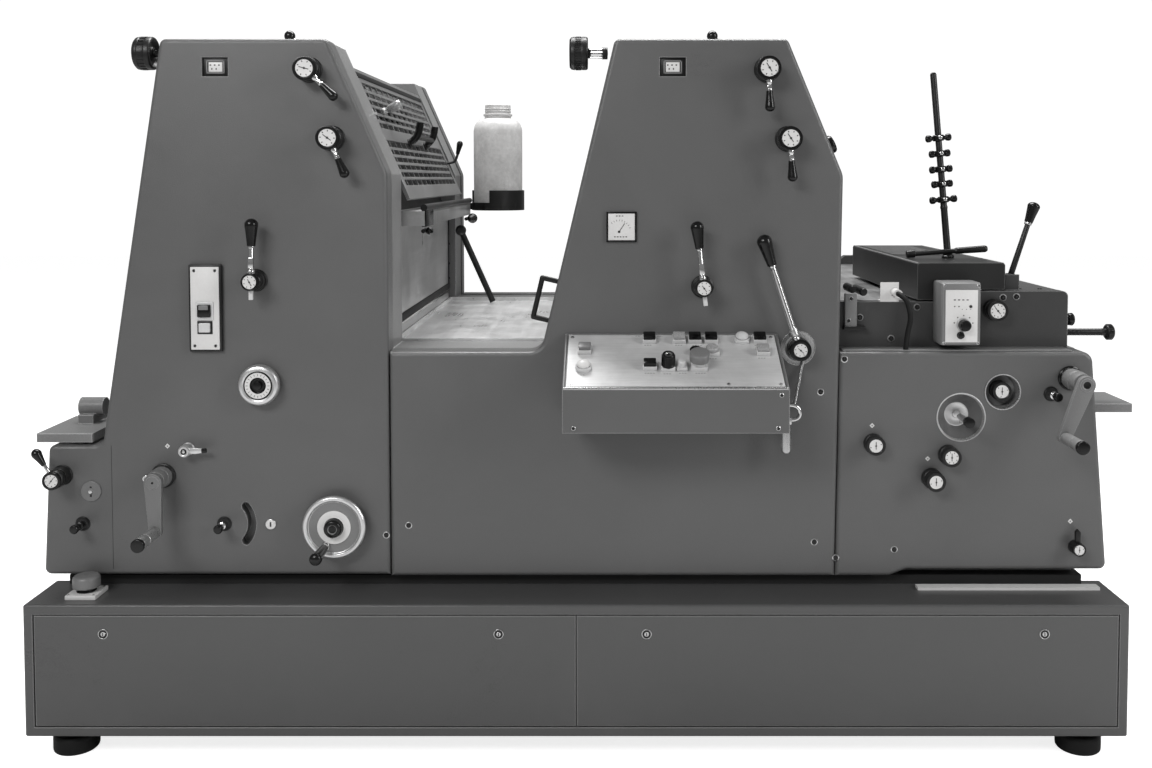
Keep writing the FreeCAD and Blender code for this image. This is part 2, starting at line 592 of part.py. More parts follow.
def bottle():
    """Dampening-fluid bottle in a cup on an arm from the drive-side frame."""
    inner = "bottle_radius - 3"
    body = rod("bottle_body", inner, "bottle_height - bottle_neck_height - 32", ("0", "0", "0"), "+z")
    shoulder = cone("bottle_shoulder", inner, "bottle_neck - 2", "32",
                    ("0", "0", "bottle_height - bottle_neck_height - 32"), "+z")
    neck = rod("bottle_neck_tube", "bottle_neck - 2", "bottle_neck_height",
               ("0", "0", "bottle_height - bottle_neck_height"), "+z")
    lip = rod("bottle_lip", "bottle_neck + 2", "8", ("0", "0", "bottle_height - bottle_neck_height"), "+z")
    finish("bottle", fuse("bottle_whole", [body, shoulder, neck, lip]),
           ("bottle_x", "bottle_y", "bottle_bottom + 4"))
    ring = rod("holder_ring", "bottle_radius + 3", "holder_height", ("bottle_x", "bottle_y",
                                                                     "bottle_bottom"), "+z")
    hollow = rod("holder_hollow", "bottle_radius - 2.7", "holder_height",
                 ("bottle_x", "bottle_y", "bottle_bottom + 4"), "+z")
    step = slab("holder_step", ("bottle_x - bottle_radius - 10", "bottle_y - bottle_radius - 10",
                                "bottle_bottom + 24"),
                ("bottle_x - 20", "bottle_y", "bottle_bottom + holder_height + 5"))
    arm = slab("holder_arm", ("kink_one_x - frame_inset", "bottle_y - 12", "bottle_bottom + 2"),
               ("bottle_x - bottle_radius + 4", "bottle_y + 12", "bottle_bottom + 22"))
    finish("bottle_holder", cut("bottle_holder_cut", fuse("holder_body", [ring, arm]), [hollow, step]))


def prop_rod():
    """Slanting stay from the ledge's drive end down to the tray."""
    length, lean = "236", "-24"
    shaft = rod("prop_shaft", "prop_radius", length, ("0", "0", "0"), "+z")
    knob = ball("prop_knob", "prop_radius * 1.8", ("0", "0", length))
    foot = ("kink_one_x + 118", "frame_back - 70", "tray_level + prop_radius * 0.42")
    finish("prop_rod", fuse("prop_rod_whole", [shaft, knob]), foot, (0, 1, 0), lean)


# ---------------------------------------------------------------- delivery end
def pile_boards():
    """Board that carries the printed pile and the one that carries the blank pile."""
    half = "frame_back - seat_gap"
    delivery = slab("delivery_board", ("plinth_left - 20", "-(%s)" % half, "delivery_board_z"),
                    ("deck_left - 10", half, "delivery_board_z + pile_board"))
    feeder = slab("feeder_board", ("deck_right + 20", "-(%s)" % half, "feeder_board_z"),
                  ("plinth_right - 10", half, "feeder_board_z + pile_board"))
    finish("pile_boards", group("pile_boards_set", [delivery, feeder]))


def side_shelves():
    """Small shelves on the operator's side: over the delivery ledge and at the feeder end."""
    top = "ledge_top + shelf_lift + shelf_thickness"
    delivery = slab("shelf_one", ("shelf_left", "-cover_face + 4", "ledge_top + shelf_lift"),
                    ("ledge_right - ledge_radius - 2", "-cover_face + shelf_depth", top))
    post = rod("shelf_post", "ink_stub_radius", "shelf_lift",
               ("delivery_left + 70", "-cover_face + 30", "ledge_top"), "+z")
    bench = slab("knob_block", ("ledge_right - 96", "-frame_face + 40", top),
                 ("ledge_right - 62", "-frame_back - 6", top + " + 20"))
    roll = rod("knob_roll", "20", "54", ("ledge_right - 100", "-frame_face + 70", top + " + 34"), "+x")
    feeder_left = "feeder_right - feeder_lean + 8"
    feeder = slab("shelf_two", (feeder_left, "-frame_face", "feeder_shelf_z"),
                  ("feeder_shelf_right", "-frame_face + feeder_shelf_depth",
                   "feeder_shelf_z + shelf_thickness"))
    arm = slab("shelf_arm", ("frame_right", "-frame_face + 30", "feeder_shelf_z - 60"),
               ("plinth_right + 34", "-frame_back - 30", "feeder_shelf_z"))
    finish("side_shelves", group("shelves_set", [fuse("shelf_delivery", [delivery, post, bench, roll]),
                                                 fuse("shelf_feeder", [feeder, arm])]))


# ---------------------------------------------------------------- feeder
def feeder_housing():
    """Two side plates and the cover over the end of the feed table, welded as one."""
    outline = [("side_plate_left", "body_top"), ("side_plate_right", "body_top"),
               ("side_plate_right", "side_plate_top"), ("side_plate_step_x + 30", "side_plate_top"),
               ("side_plate_step_x", "side_plate_step"), ("side_plate_left", "side_plate_step")]
    plates = []
    for back in ("-frame_face + side_plate_thickness", "frame_face"):
        plate = prism("feeder_plate", outline, "side_plate_thickness", corners=[((2,), "side_plate_corner")])
        plates.append(place(plate, ("0", back, "0")))
    lid = slab("end_cover", ("end_cover_left", "-frame_face + side_plate_thickness", "side_plate_top - 14"),
               ("side_plate_right - side_plate_corner", "frame_face - side_plate_thickness",
                "side_plate_top"))
    ears = [slab("lever_ear", ("feeder_lever_x - 15", "feeder_lever_y + (%s)" % y, "side_plate_top"),
                 ("feeder_lever_x + 15", "feeder_lever_y + (%s) + 6" % y, "feeder_lever_z + 14"))
            for y in ("10 + running_gap", "-16 - running_gap")]
    finish("feeder_housing", fuse("feeder_housing_whole", plates + [lid] + ears))


def feed_table():
    """Bare metal table that the sheets slide down towards the second unit."""
    half = "frame_face - side_plate_thickness - seat_gap"
    finish("feed_table", slab("feed_table_plate",
                              ("side_plate_left + 6", "-(%s)" % half,
                               "side_plate_step - feed_table_thickness - 4"),
                              ("end_cover_left - 4", half, "side_plate_step - 4")))


def feeder_head():
    """Long suction-head housing across the table, its front end cut up in a step."""
    front = "-frame_face + seat_gap"
    outline = [("head_left", "head_drop"), ("head_step_x", "head_drop"), ("head_step_x", "head_bottom"),
               ("head_right", "head_bottom"), ("head_right", "head_top"), ("head_left", "head_top")]
    body = prism("head_body", outline, "head_length", corners=[((4, 5), "tee_radius")])
    place(body, ("0", "%s + head_length" % front, "0"))
    seats = [slab("head_foot", ("head_left + 20", y, "side_plate_step - 4"),
                  ("head_left + 60", "%s + 30" % y, "head_drop"))
             for y in ("-frame_face + side_plate_thickness + seat_gap", "-40")]
    finish("feeder_head", fuse("feeder_head_whole", [body] + seats))


def guide_mast():
    """Leaning round mast on the suction head with ball-ended cross clamps, and a tee bar at its foot."""
    shaft = rod("mast_shaft", "mast_radius", "mast_length", ("0", "0", "0"), "+z")
    pieces = [shaft]
    for i, (z, reach) in enumerate(((132, 64), (168, 50), (202, 54), (238, 50), (274, 60))):
        collar = rod("clamp_collar", "mast_radius + 5", "14", ("0", "0", "%d - 7" % z), "+z")
        bar = rod("clamp_bar", "clamp_radius", str(reach), ("-%d" % (reach / 2), "0", str(z)), "+x")
        ends = [rod("clamp_head", "clamp_head", "clamp_head_length", (end, "0", str(z)), "+x")
                for end in ("-%d" % (reach / 2), "%d - clamp_head_length" % (reach / 2))]
        pieces += [collar, bar] + ends
    foot = rod("mast_foot", "mast_radius + 6", "6", ("mast_x", "mast_y", "head_top"), "+z")
    mast = place(fuse("mast_leaning", pieces), ("mast_x", "mast_y", "head_top + 3"), (0, 1, 0), "-mast_lean")
    bar = rod("tee_bar", "tee_radius", "tee_length", ("0", "0", "0"), "+x")
    knob = rod("tee_knob", "tee_radius * 1.5", "20", ("-10", "0", "0"), "+x")
    tip = rod("tee_tip", "tee_radius * 1.5", "12", ("tee_length - 6", "0", "0"), "+x")
    tee = place(fuse("tee_bar_whole", [bar, knob, tip]),
                ("mast_x - 90", "mast_y - 17", "head_top + tee_radius * 1.5 + 1"), (0, 1, 0), "-4")
    finish("guide_mast", group("guide_mast_set", [fuse("mast_whole", [foot, mast]), tee]))


def end_screw():
    """Adjusting screw that stands out of the feeder end, with its hand knob, and a second knob above."""
    screw = rod("end_screw_shaft", "end_screw_radius", "end_screw_length",
                ("side_plate_right", "-frame_face + 60", "end_screw_z"), "+x")
    lug = slab("end_screw_lug", ("side_plate_right - 40", "-frame_face + side_plate_thickness",
                                 "end_screw_z - 14"),
               ("side_plate_right", "-frame_face + 80", "end_screw_z + 14"))
    knob = rod("end_screw_knob", "end_knob_radius", "end_knob_length",
               ("side_plate_right + end_screw_length", "-frame_face + 60", "end_screw_z"), "+x")
    second = rod("end_knob", "end_knob_radius - 3", "18",
                 ("side_plate_right", "-frame_face + side_plate_thickness / 2", "end_screw_z + 34"), "+x")
    finish("end_screw", group("end_screw_set", [fuse("end_screw_whole", [screw, lug, knob]), second]))


def control_box():
    """Feeder control box on the side plate: a case with a bright front, a knob and a button."""
    case = slab("control_body", ("control_left", "-frame_face - control_depth", "control_bottom"),
                ("control_right", "-frame_face", "control_top"))
    face = "-frame_face - control_depth"
    plate = slab("control_front", ("control_left + 9", "%s - control_plate" % face, "control_bottom + 8"),
                 ("control_right - 9", face, "control_top - 16"))
    knob = rod("control_knob", "13", "20", ("control_left + 47", face, "control_bottom + 45"))
    button = rod("control_button", "7.5", "10", ("control_left + 41", face, "control_bottom + 23"))
    finish("control_box", fuse("control_box_whole", [case, plate, knob, button]))


LEAD_ROUTE = [(687, -620.3, 962), (687, -636, 962), (699, -646, 951), (708, -650, 916), (702, -641, 878),
              (701, -633, 842.5)]


def rounded_path(route):
    """Straight runs joined by tangent arcs as large as the runs allow."""
    spots = [Vector(*p) for p in route]
    edge_list, start = [], spots[0]
    for before, corner, after in zip(spots, spots[1:], spots[2:]):
        come, go = (before - corner), (after - corner)
        reach = 0.45 * min(come.Length, go.Length)
        first = corner + come.normalize() * reach
        second = corner + go.normalize() * reach
        half = come.getAngle(go) / 2
        radius = reach * math.tan(half)
        middle_way = (come + go).normalize()
        centre = corner + middle_way * (radius / math.sin(half))
        middle = centre - middle_way * radius
        edge_list.append(Part.LineSegment(start, first).toShape())
        edge_list.append(Part.Arc(first, middle, second).toShape())
        print("lead arc radius %.1f mm" % radius)
        start = second
    edge_list.append(Part.LineSegment(start, spots[-1]).toShape())
    return Part.Wire(edge_list)


def control_lead():
    """Short stiff lead from its plug bracket down to the cover's top, and the bracket itself."""
    path = rounded_path(LEAD_ROUTE)
    radius = number("lead_radius")
    along = path.Edges[0].tangentAt(path.Edges[0].FirstParameter)
    ring = Part.Wire([Part.Circle(Vector(*LEAD_ROUTE[0]), along, radius).toShape()])
    tube = path.makePipeShell([ring], True, False)
    lead = doc.addObject("Part::Feature", "lead_tube")
    lead.Shape = tube
    print("lead length %.1f mm, volume ratio %.4f" % (path.Length,
                                                      tube.Volume / (math.pi * radius ** 2 * path.Length)))
    finish("control_lead", lead)
    x, y, z = LEAD_ROUTE[0]
    foot = slab("bracket_foot", (str(x - 31), "-frame_face", "side_plate_step"),
                (str(x + 9), "-frame_face + 26", "side_plate_step + 3"))
    stand = slab("bracket_stand", (str(x - 31), "-frame_face", "side_plate_step + 3"),
                 (str(x + 9), "-frame_face + 3", "side_plate_step + 42"))
    plug = place(rod("bracket_plug", "lead_radius + 4", "30", ("0", "0", "0"), "-y"),
                 (str(x), "-frame_face", str(z)))
    finish("lead_bracket", fuse("lead_bracket_whole", [foot, stand, plug]))


# ---------------------------------------------------------------- console and panels
CONSOLE_AT = ("console_left", "-cover_face - console_depth", "console_front")


def console():
    """Control desk on the front: a sloping top over a shallow box."""
    outline = [("-cover_face - console_depth", "console_bottom"), ("-cover_face", "console_bottom"),
               ("-cover_face", "console_back"), ("-cover_face - console_depth", "console_front")]
    desk = prism("console_body", outline, "console_right - console_left", plane="YZ_Plane")
    finish("console", desk, ("console_left", "0", "0"))
    plate = box("console_top", ("console_right - console_left - 2 * console_margin",
                                "console_depth / cos(console_slope) - 2 * console_margin", "console_plate"),
                ("0", "0", "0"))
    place(plate, ("console_margin", "console_margin", "0"))
    finish("console_plate", group("console_plate_turned", [plate]), CONSOLE_AT, (1, 0, 0), "console_slope")


SQUARE_BUTTONS = [(42, 129), (177, 169), (239, 169), (272, 169), (306, 169), (408, 169), (410, 123),
                  (177, 70), (273, 124)]
ROUND_BUTTONS = [(41, 68), (371, 169), (244, 70), (308, 121)]


def console_buttons():
    """Push buttons, lamps, a turning knob and the large stop button, standing on the desk plate."""
    base = "console_plate"
    solids = [place(box("button", ("button_size", "button_size * 0.7", "button_height"), ("0", "0", "0")),
                    ("%d - button_size / 2" % x, "%d - button_size * 0.35" % y, base))
              for x, y in SQUARE_BUTTONS]
    solids += [rod("lamp", "dome_radius * 0.8", "button_height + 4", (str(x), str(y), base), "+z")
               for x, y in ROUND_BUTTONS]
    knob = rod("turn_knob", "dome_radius * 0.7", "30", ("215", "60", base), "+z")
    stem = rod("stop_stem", "mushroom_radius * 0.6", "18", ("277", "75", base), "+z")
    head = rod("stop_head", "mushroom_radius", "18", ("277", "75", base + " + 16"), "+z")
    solids += [knob, fuse("stop_button", [stem, head])]
    finish("console_buttons", group("console_buttons_set", solids), CONSOLE_AT, (1, 0, 0), "console_slope")


def switch_box():
    """Plate with a dark and a light rocker on the first tower."""
    face = "-cover_face - switch_depth"
    plate = slab("switch_plate", ("switch_left", face, "switch_bottom"),
                 ("switch_left + switch_width", "-cover_face", "switch_bottom + switch_height"))
    middle = "switch_left + switch_width / 2"
    rockers = [slab("rocker", ("%s - 16" % middle, "%s - %d" % (face, proud), "switch_bottom + %d" % low),
                    ("%s + 16" % middle, face, "switch_bottom + %d" % high))
               for proud, low, high in ((10, 70, 102), (16, 44, 68))]
    finish("switch_box", fuse("switch_box_whole", [plate] + rockers))


def gauge():
    """Square meter on the second tower: a frame round a sunk face."""
    low = ("gauge_left", "-cover_face - gauge_depth", "gauge_bottom")
    high = ("gauge_left + gauge_size", "-cover_face", "gauge_bottom + gauge_size")
    frame = slab("gauge_frame", low, high)
    sunk = slab("gauge_sunk", ("gauge_left + 5", "-cover_face - gauge_depth", "gauge_bottom + 5"),
                ("gauge_left + gauge_size - 5", "-cover_face - gauge_depth / 2",
                 "gauge_bottom + gauge_size - 5"))
    finish("gauge", cut("gauge_whole", frame, [sunk]))


def grab_handle():
    """U-shaped grab handle on the slanted edge of the second tower."""
    foot = "tower_two_foot + (grab_z - body_top) * (tower_two_left - tower_two_foot) / (tower_top - body_top)"
    lean = "atan((tower_two_left - tower_two_foot) / (tower_top - body_top))"
    half = "grab_height / 2"
    bar = rod("grab_bar", "grab_radius", "grab_height", ("-grab_reach", "0", "-" + half), "+z")
    arms = [rod("grab_arm", "grab_radius", "grab_reach", ("-grab_reach", "0", z), "+x")
            for z in ("-" + half, half)]
    ends = [ball("grab_bend", "grab_radius", ("-grab_reach", "0", z)) for z in ("-" + half, half)]
    finish("grab_handle", fuse("grab_whole", [bar] + arms + ends),
           (foot, "-cover_face + cover_depth / 2", "grab_z"), (0, 1, 0), lean)


# ---------------------------------------------------------------- hand controls
FACE = "-cover_face"


def boss(x, z, radius="boss_radius", length="boss_length", face=FACE):
    return rod("boss", radius, length, (x, face, z))


def fixed_controls(stubs):
    """Bosses that the moving controls turn on, and the small adjusters that stand on the covers."""
    bosses = [boss("%s_x" % name, "%s_z" % name) for name in
              ("lever_one", "lever_two", "dial_one", "dial_two", "dial_three", "dial_four")]
    bosses += [boss("lever_three_x", "lever_three_z", "lever_disc", "boss_length / 2"),
               boss("crank_one_x", "crank_one_z", length="crank_one_boss"),
               boss("crank_two_x", "crank_two_z", length="crank_two_boss"),
               boss("wheel_x", "wheel_z", "wheel_radius * 0.6", "6"),
               boss("side_wheel_x", "side_wheel_z", "boss_radius", "6"),
               boss("ball_lever_x", "ball_lever_z", "boss_radius - 3", "26"),
               boss("tap_x", "tap_z", "12", "14")]
    finish("control_bosses", group("control_bosses_set", bosses + stubs))
    knobs = []
    for x, z, length in ((630, 646, 25), (789, 622, 31), (754, 572, 40)):
        knobs.append(rod("adjuster", "knob_radius", str(length), (str(x), FACE, str(z))))
    knobs.append(rod("table_knob", "knob_radius + 2", "30", ("902", "-frame_face", "925")))
    knobs.append(rod("cup_knob", "knob_radius", "cup_depth - 2", ("cup_x", FACE + " + cup_depth", "cup_z")))
    shaft = rod("dish_shaft", "8", "dish_depth + 64", ("dish_x", FACE + " + dish_depth", "dish_z"))
    tip = rod("dish_tip", "15", "18", ("dish_x", FACE + " - 62", "dish_z"))
    knobs.append(fuse("dish_spindle", [shaft, tip]))
    for x, z in ((-1055, 473), (-753, 473), (1006, 752)):
        stem = rod("plunger_stem", "6", "34", (str(x), FACE, str(z)))
        collar = rod("plunger_collar", "15", "6", (str(x), FACE, str(z)))
        head = rod("plunger_head", "10", "16", (str(x), FACE + " - 30", str(z)))
        knobs.append(fuse("plunger", [stem, collar, head]))
    knobs.append(rod("blank_disc", "knob_radius", "3", ("-1036", FACE, "543")))
    knobs.append(rod("key_disc", "12", "3", ("-654", FACE, "472")))
    pointer_hub = rod("pointer_hub", "13", "28", ("1062", FACE, "424"))
    pointer = slab("pointer_arm", ("1058", FACE + " - 26", "424"), ("1066", FACE + " - 14", "464"))
    knobs.append(fuse("pointer", [pointer_hub, pointer]))
    for x in ("top_lever_one_x", "top_lever_two_x"):
        stem = rod("top_stem", "top_lever_radius", "24",
                   (x, "-frame_face + frame_depth / 2", "tower_top - frame_inset"), "+z")
        knobs.append(fuse("top_lever", [stem, ball("top_ball", "top_ball_radius", (
            x, "-frame_face + frame_depth / 2", "tower_top + 22"))]))
    finish("adjusters", group("adjusters_set", knobs))


def lever(label, x, z, boss_length, hub, reach, grip, grip_length, lean, rod_radius="lever_rod",
          tail="0", depth="lever_hub_depth"):
    """A hand lever: hub on the boss's axis, rod, tapered grip and a dial face on the hub."""
    body = rod("lever_hub_disc", hub, depth, ("0", "0", "0"))
    face = rod("lever_face", "%s * 0.72" % hub, "3", ("0", "-" + depth, "0"))
    middle = "-%s / 2" % depth
    stem = rod("lever_stem", rod_radius, "%s - %s + 2" % (reach, grip_length), ("0", middle, "0"), "+z")
    handle = cone("lever_handle", "%s * 0.72" % grip, grip, grip_length,
                  ("0", middle, "%s - %s" % (reach, grip_length)), "+z")
    pieces = [body, face, stem, handle]
    if tail != "0":
        pieces.append(rod("lever_tail", "%s * 0.9" % rod_radius, tail, ("0", middle, "0"), "-z"))
    finish(label, fuse(label + "_whole", pieces),
           (x, "-cover_face - (%s) - running_gap" % boss_length, z), (0, 1, 0), lean)


def crank(label, x, z, boss_length, arm, lean):
    """A hand crank: arm on its hub and a long grip that points to the operator."""
    thick = "crank_thickness"
    hub = rod(label + "_hub", "crank_hub", thick, ("0", "0", "0"))
    end = rod(label + "_end", "crank_end", thick, ("0", "0", "-(%s)" % arm))
    web = box(label + "_web", ("2 * crank_end", thick, arm), ("0", "0", "0"))
    place(web, ("-crank_end", "-" + thick, "-(%s)" % arm))
    grip = cone(label + "_grip", "crank_grip * 0.85", "crank_grip", "crank_grip_length",
                ("0", "-" + thick, "-(%s)" % arm))
    finish(label, fuse(label + "_whole", [hub, end, web, grip]),
           (x, "-cover_face - (%s) - running_gap" % boss_length, z), (0, 1, 0), lean)


def levers():
    lever("impression_lever", "lever_one_x", "lever_one_z", "boss_length", "lever_hub",
          "lever_one_reach", "lever_grip", "lever_grip_length", "1", tail="38")
    lever("water_lever", "lever_two_x", "lever_two_z", "boss_length", "lever_hub",
          "lever_two_reach", "lever_grip", "lever_grip_length", "lever_two_lean", tail="38")
    lever("main_lever", "lever_three_x", "lever_three_z", "boss_length / 2", "lever_hub",
          "lever_three_reach", "lever_grip + 2", "lever_grip_length + 10", "lever_three_lean")
    dials = (("dial_lever_one", "dial_one", "135"), ("dial_lever_two", "dial_two", "156"),
             ("dial_lever_three", "dial_three", "178"), ("dial_lever_four", "dial_four", "176"))
    for label, axis, turn in dials:
        lever(label, axis + "_x", axis + "_z", "boss_length", "dial_radius", "dial_reach",
              "dial_grip", "dial_grip_length", turn, rod_radius="dial_rod")
    lever("ball_lever", "ball_lever_x", "ball_lever_z", "26", "dial_radius - 6", "62", "9", "24", "-33",
          rod_radius="dial_rod")
    lever("tap_lever", "tap_x", "tap_z", "14", "12", "46", "6", "20", "88", rod_radius="4", depth="14")
    crank("delivery_crank", "crank_one_x", "crank_one_z", "crank_one_boss", "crank_arm", "-2")
    crank("feeder_crank", "crank_two_x", "crank_two_z", "crank_two_boss", "crank_two_arm", "crank_two_lean")


def feeder_lever():
    """Black hand lever that stands up beside the suction head."""
    hub = rod("feeder_lever_hub", "15", "20", ("0", "10", "0"))
    stem = rod("feeder_lever_stem", "7", "150", ("0", "0", "0"), "+z")
    grip = cone("feeder_lever_grip", "13", "15", "46", ("0", "0", "134"), "+z")
    finish("feeder_lever", fuse("feeder_lever_whole", [hub, stem, grip]),
           ("feeder_lever_x", "feeder_lever_y", "feeder_lever_z"), (0, 1, 0), "17.8")


def wheels():
    """Handwheel low on the first unit, the ringed side wheel, and an ink wheel on each tower."""
    rim = cone("wheel_rim", "wheel_radius", "wheel_radius * 0.9", "wheel_depth", ("0", "0", "0"))
    hub = rod("wheel_hub", "wheel_radius * 0.3", "wheel_depth + 12", ("0", "0", "0"))
    turn = "wheel_grip_turn * 1deg"
    grip = cone("wheel_grip", "wheel_grip * 0.7", "wheel_grip", "wheel_grip_length",
                ("wheel_grip_reach * sin(%s)" % turn, "-wheel_depth", "wheel_grip_reach * cos(%s)" % turn))
    finish("handwheel", fuse("handwheel_whole", [rim, hub, grip]),
           ("wheel_x", "-cover_face - 6 - running_gap", "wheel_z"))
    ring = cone("side_wheel_ring", "side_wheel_radius", "side_wheel_radius * 0.93", "side_wheel_depth",
                ("0", "0", "0"))
    well = rod("side_wheel_well", "side_wheel_radius * 0.42", "side_wheel_depth", ("0", "-6", "0"))
    pin = rod("side_wheel_pin", "8", "side_wheel_depth - 4", ("0", "0", "0"))
    finish("side_wheel", fuse("side_wheel_whole", [cut("side_wheel_dished", ring, [well]), pin]),
           ("side_wheel_x", "-cover_face - 6 - running_gap", "side_wheel_z"))
    slopes = (("ink_wheel_one", "tower_one_left", "ledge_right", "ledge_top"),
              ("ink_wheel_two", "tower_two_left", "tower_two_foot", "body_top"))
    stubs = []
    for label, top, foot, level in slopes:
        slope = "(%s - (%s)) / (tower_top - (%s))" % (top, foot, level)
        edge_x = "%s + frame_inset - (tower_top - frame_inset - ink_wheel_z) * %s" % (top, slope)
        y = "-frame_face + frame_depth / 2"
        length = "ink_wheel_gap - ink_stub_radius * %s - seat_gap" % slope
        stubs.append(rod(label + "_stub", "ink_stub_radius", length,
                         ("%s - ink_wheel_gap" % edge_x, y, "ink_wheel_z"), "+x"))
        disc = rod(label + "_disc", "ink_wheel_radius", "ink_wheel_depth", ("0", "0", "0"), "-x")
        finish(label, disc, ("%s - ink_wheel_gap - running_gap" % edge_x, y, "ink_wheel_z"))
    return stubs


def main():
    side_box("base_box_operator", -1)
    side_box("base_box_drive", 1)
    for build in (base_panels, feet, base_deck, base_rail, emergency_stop, covers, side_frames,
                  inner_housing, inking, apron, tray, bottle, prop_rod, pile_boards, side_shelves,
                  feeder_housing, feed_table, feeder_head, guide_mast, end_screw, control_box,
                  control_lead, console, console_buttons, switch_box, gauge, grab_handle, levers,
                  feeder_lever):
        build()
    slope_guards(guards())
    fixed_controls(wheels())
    doc.recompute()
    failed = [item.Name for item in doc.Objects if {"Invalid", "Error"} & set(item.State)]
    for label, item in PARTS.items():
        if item.Shape.isNull() or not item.Shape.isValid():
            failed.append(label)
    if failed:
        raise RuntimeError("objects that did not build: %s" % ", ".join(failed))
    os.makedirs("parts", exist_ok=True)
    for label, item in PARTS.items():
        item.Shape.exportStep("parts/%s.step" % label)
    print("%d sub-parts written" % len(PARTS))


main()
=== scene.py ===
# %% [markdown]
# # A two-colour offset press
# The press stands on a long base. Two towers hold the printing units, a low end delivers the printed
# sheets and the other end feeds blank ones. The construction comes from a fixed frame of solids that
# already have their real size. Everything below adds finishes, and swaps plain solids for shaped ones
# where a hand touches the machine: levers, cranks, dials, buttons.

import json
import math

import bmesh
import bpy
from mathutils import Matrix, Vector


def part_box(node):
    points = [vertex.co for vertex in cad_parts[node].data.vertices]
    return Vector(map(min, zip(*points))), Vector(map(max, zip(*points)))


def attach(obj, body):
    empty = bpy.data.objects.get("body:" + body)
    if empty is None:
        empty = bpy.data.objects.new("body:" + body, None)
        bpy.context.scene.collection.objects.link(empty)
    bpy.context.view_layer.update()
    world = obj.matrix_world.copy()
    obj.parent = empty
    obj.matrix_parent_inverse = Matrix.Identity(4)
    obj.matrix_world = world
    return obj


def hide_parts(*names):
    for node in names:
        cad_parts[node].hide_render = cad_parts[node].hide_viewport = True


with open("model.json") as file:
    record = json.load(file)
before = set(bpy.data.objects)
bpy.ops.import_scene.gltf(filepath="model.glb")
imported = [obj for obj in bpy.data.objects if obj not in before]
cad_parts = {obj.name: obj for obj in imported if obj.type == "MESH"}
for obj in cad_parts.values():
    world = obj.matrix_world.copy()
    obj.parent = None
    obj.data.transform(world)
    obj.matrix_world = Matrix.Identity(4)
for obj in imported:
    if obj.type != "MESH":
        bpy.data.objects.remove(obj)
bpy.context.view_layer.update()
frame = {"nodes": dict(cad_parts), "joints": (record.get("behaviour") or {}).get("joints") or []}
NODES = frame["nodes"]
PIVOTS = {joint["child"]: Vector(joint["pos_m"]) for joint in frame["joints"]}
MM = 0.001
ROOT = "press_body"
print("nodes:", len(NODES), "moving bodies:", len(PIVOTS))

# %% [markdown]
# ## One ruler for every piece
# Drawings of the press measure from the middle of its base, in millimetres. BASE_MIDDLE is that spot
# in the frame, so all pieces share the ruler of the solids under them. The cover's face is the plane
# that the controls stand on.

# %% The ruler
front_low, front_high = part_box("base_box_operator")
back_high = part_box("base_box_drive")[1]
BASE_MIDDLE = Vector(((front_low.x + front_high.x) / 2, (front_low.y + back_high.y) / 2, 0))
COVER_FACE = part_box("cover_printing")[0].y
FACE = (COVER_FACE - BASE_MIDDLE.y) / MM
FRAME_FACE = (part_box("side_frame_operator")[0].y - BASE_MIDDLE.y) / MM
FRONT = Vector((0, -1, 0))
UP = Vector((0, 0, 1))
ALONG = Vector((1, 0, 0))

print("cover face at", round(FACE), "mm")

# %% [markdown]
# ## Camera
# A level view from the operator's side, tipped down a little. The distance and height come first,
# because everything that leaves the middle of the picture depends on them.

# %% Camera
CAMERA_DISTANCE = 2.330
CAMERA_HEIGHT = 1.2089
CAMERA_ASIDE = 0.0655
CAMERA_TILT = math.radians(2.5)

camera_data = bpy.data.cameras.new("camera")
camera_data.sensor_width = 36
camera_data.lens = 35.94
camera_data.shift_x = -0.0278
camera_data.shift_y = -0.1348
camera_data.clip_end = 60
camera = bpy.data.objects.new("camera", camera_data)
camera.location = (BASE_MIDDLE.x + CAMERA_ASIDE, front_low.y - CAMERA_DISTANCE, CAMERA_HEIGHT)
camera.rotation_euler = (math.pi / 2 - CAMERA_TILT, 0, 0)
bpy.context.scene.collection.objects.link(camera)
bpy.context.scene.camera = camera
print("camera", [round(value, 3) for value in camera.location])

# %% [markdown]
# ## Floor and light
# A studio picture of a machine needs big soft lights and a pale surround. Three large area lights do
# most of the work: one high in front for the covers, one at the side for the rims of knobs and rods,
# and one above for the tops. The camera sees the floor and the world as white, but they shed much
# less light on the press, so that black grips and feet stay black.

# %% Floor, lights and world
scene = bpy.context.scene


def plain_material(name, colour, roughness):
    made = bpy.data.materials.new(name)
    made.use_nodes = True
    shader = made.node_tree.nodes["Principled BSDF"]
    shader.inputs["Base Color"].default_value = (*colour, 1)
    shader.inputs["Roughness"].default_value = roughness
    return made


FLOOR_SIZE = 30
FLOOR_LIGHT, FLOOR_SEEN = 0.0, 0.8
SURROUND_LIGHT, SURROUND_SEEN = 0.26, 1.05


def seen_level(tree, light, seen):
    """A socket with one value for what the camera sees and another for the light on the object."""
    rays = tree.nodes.new("ShaderNodeLightPath")
    level = tree.nodes.new("ShaderNodeMapRange")
    level.inputs["To Min"].default_value = light
    level.inputs["To Max"].default_value = seen
    tree.links.new(rays.outputs["Is Camera Ray"], level.inputs["Value"])
    return level.outputs["Result"]


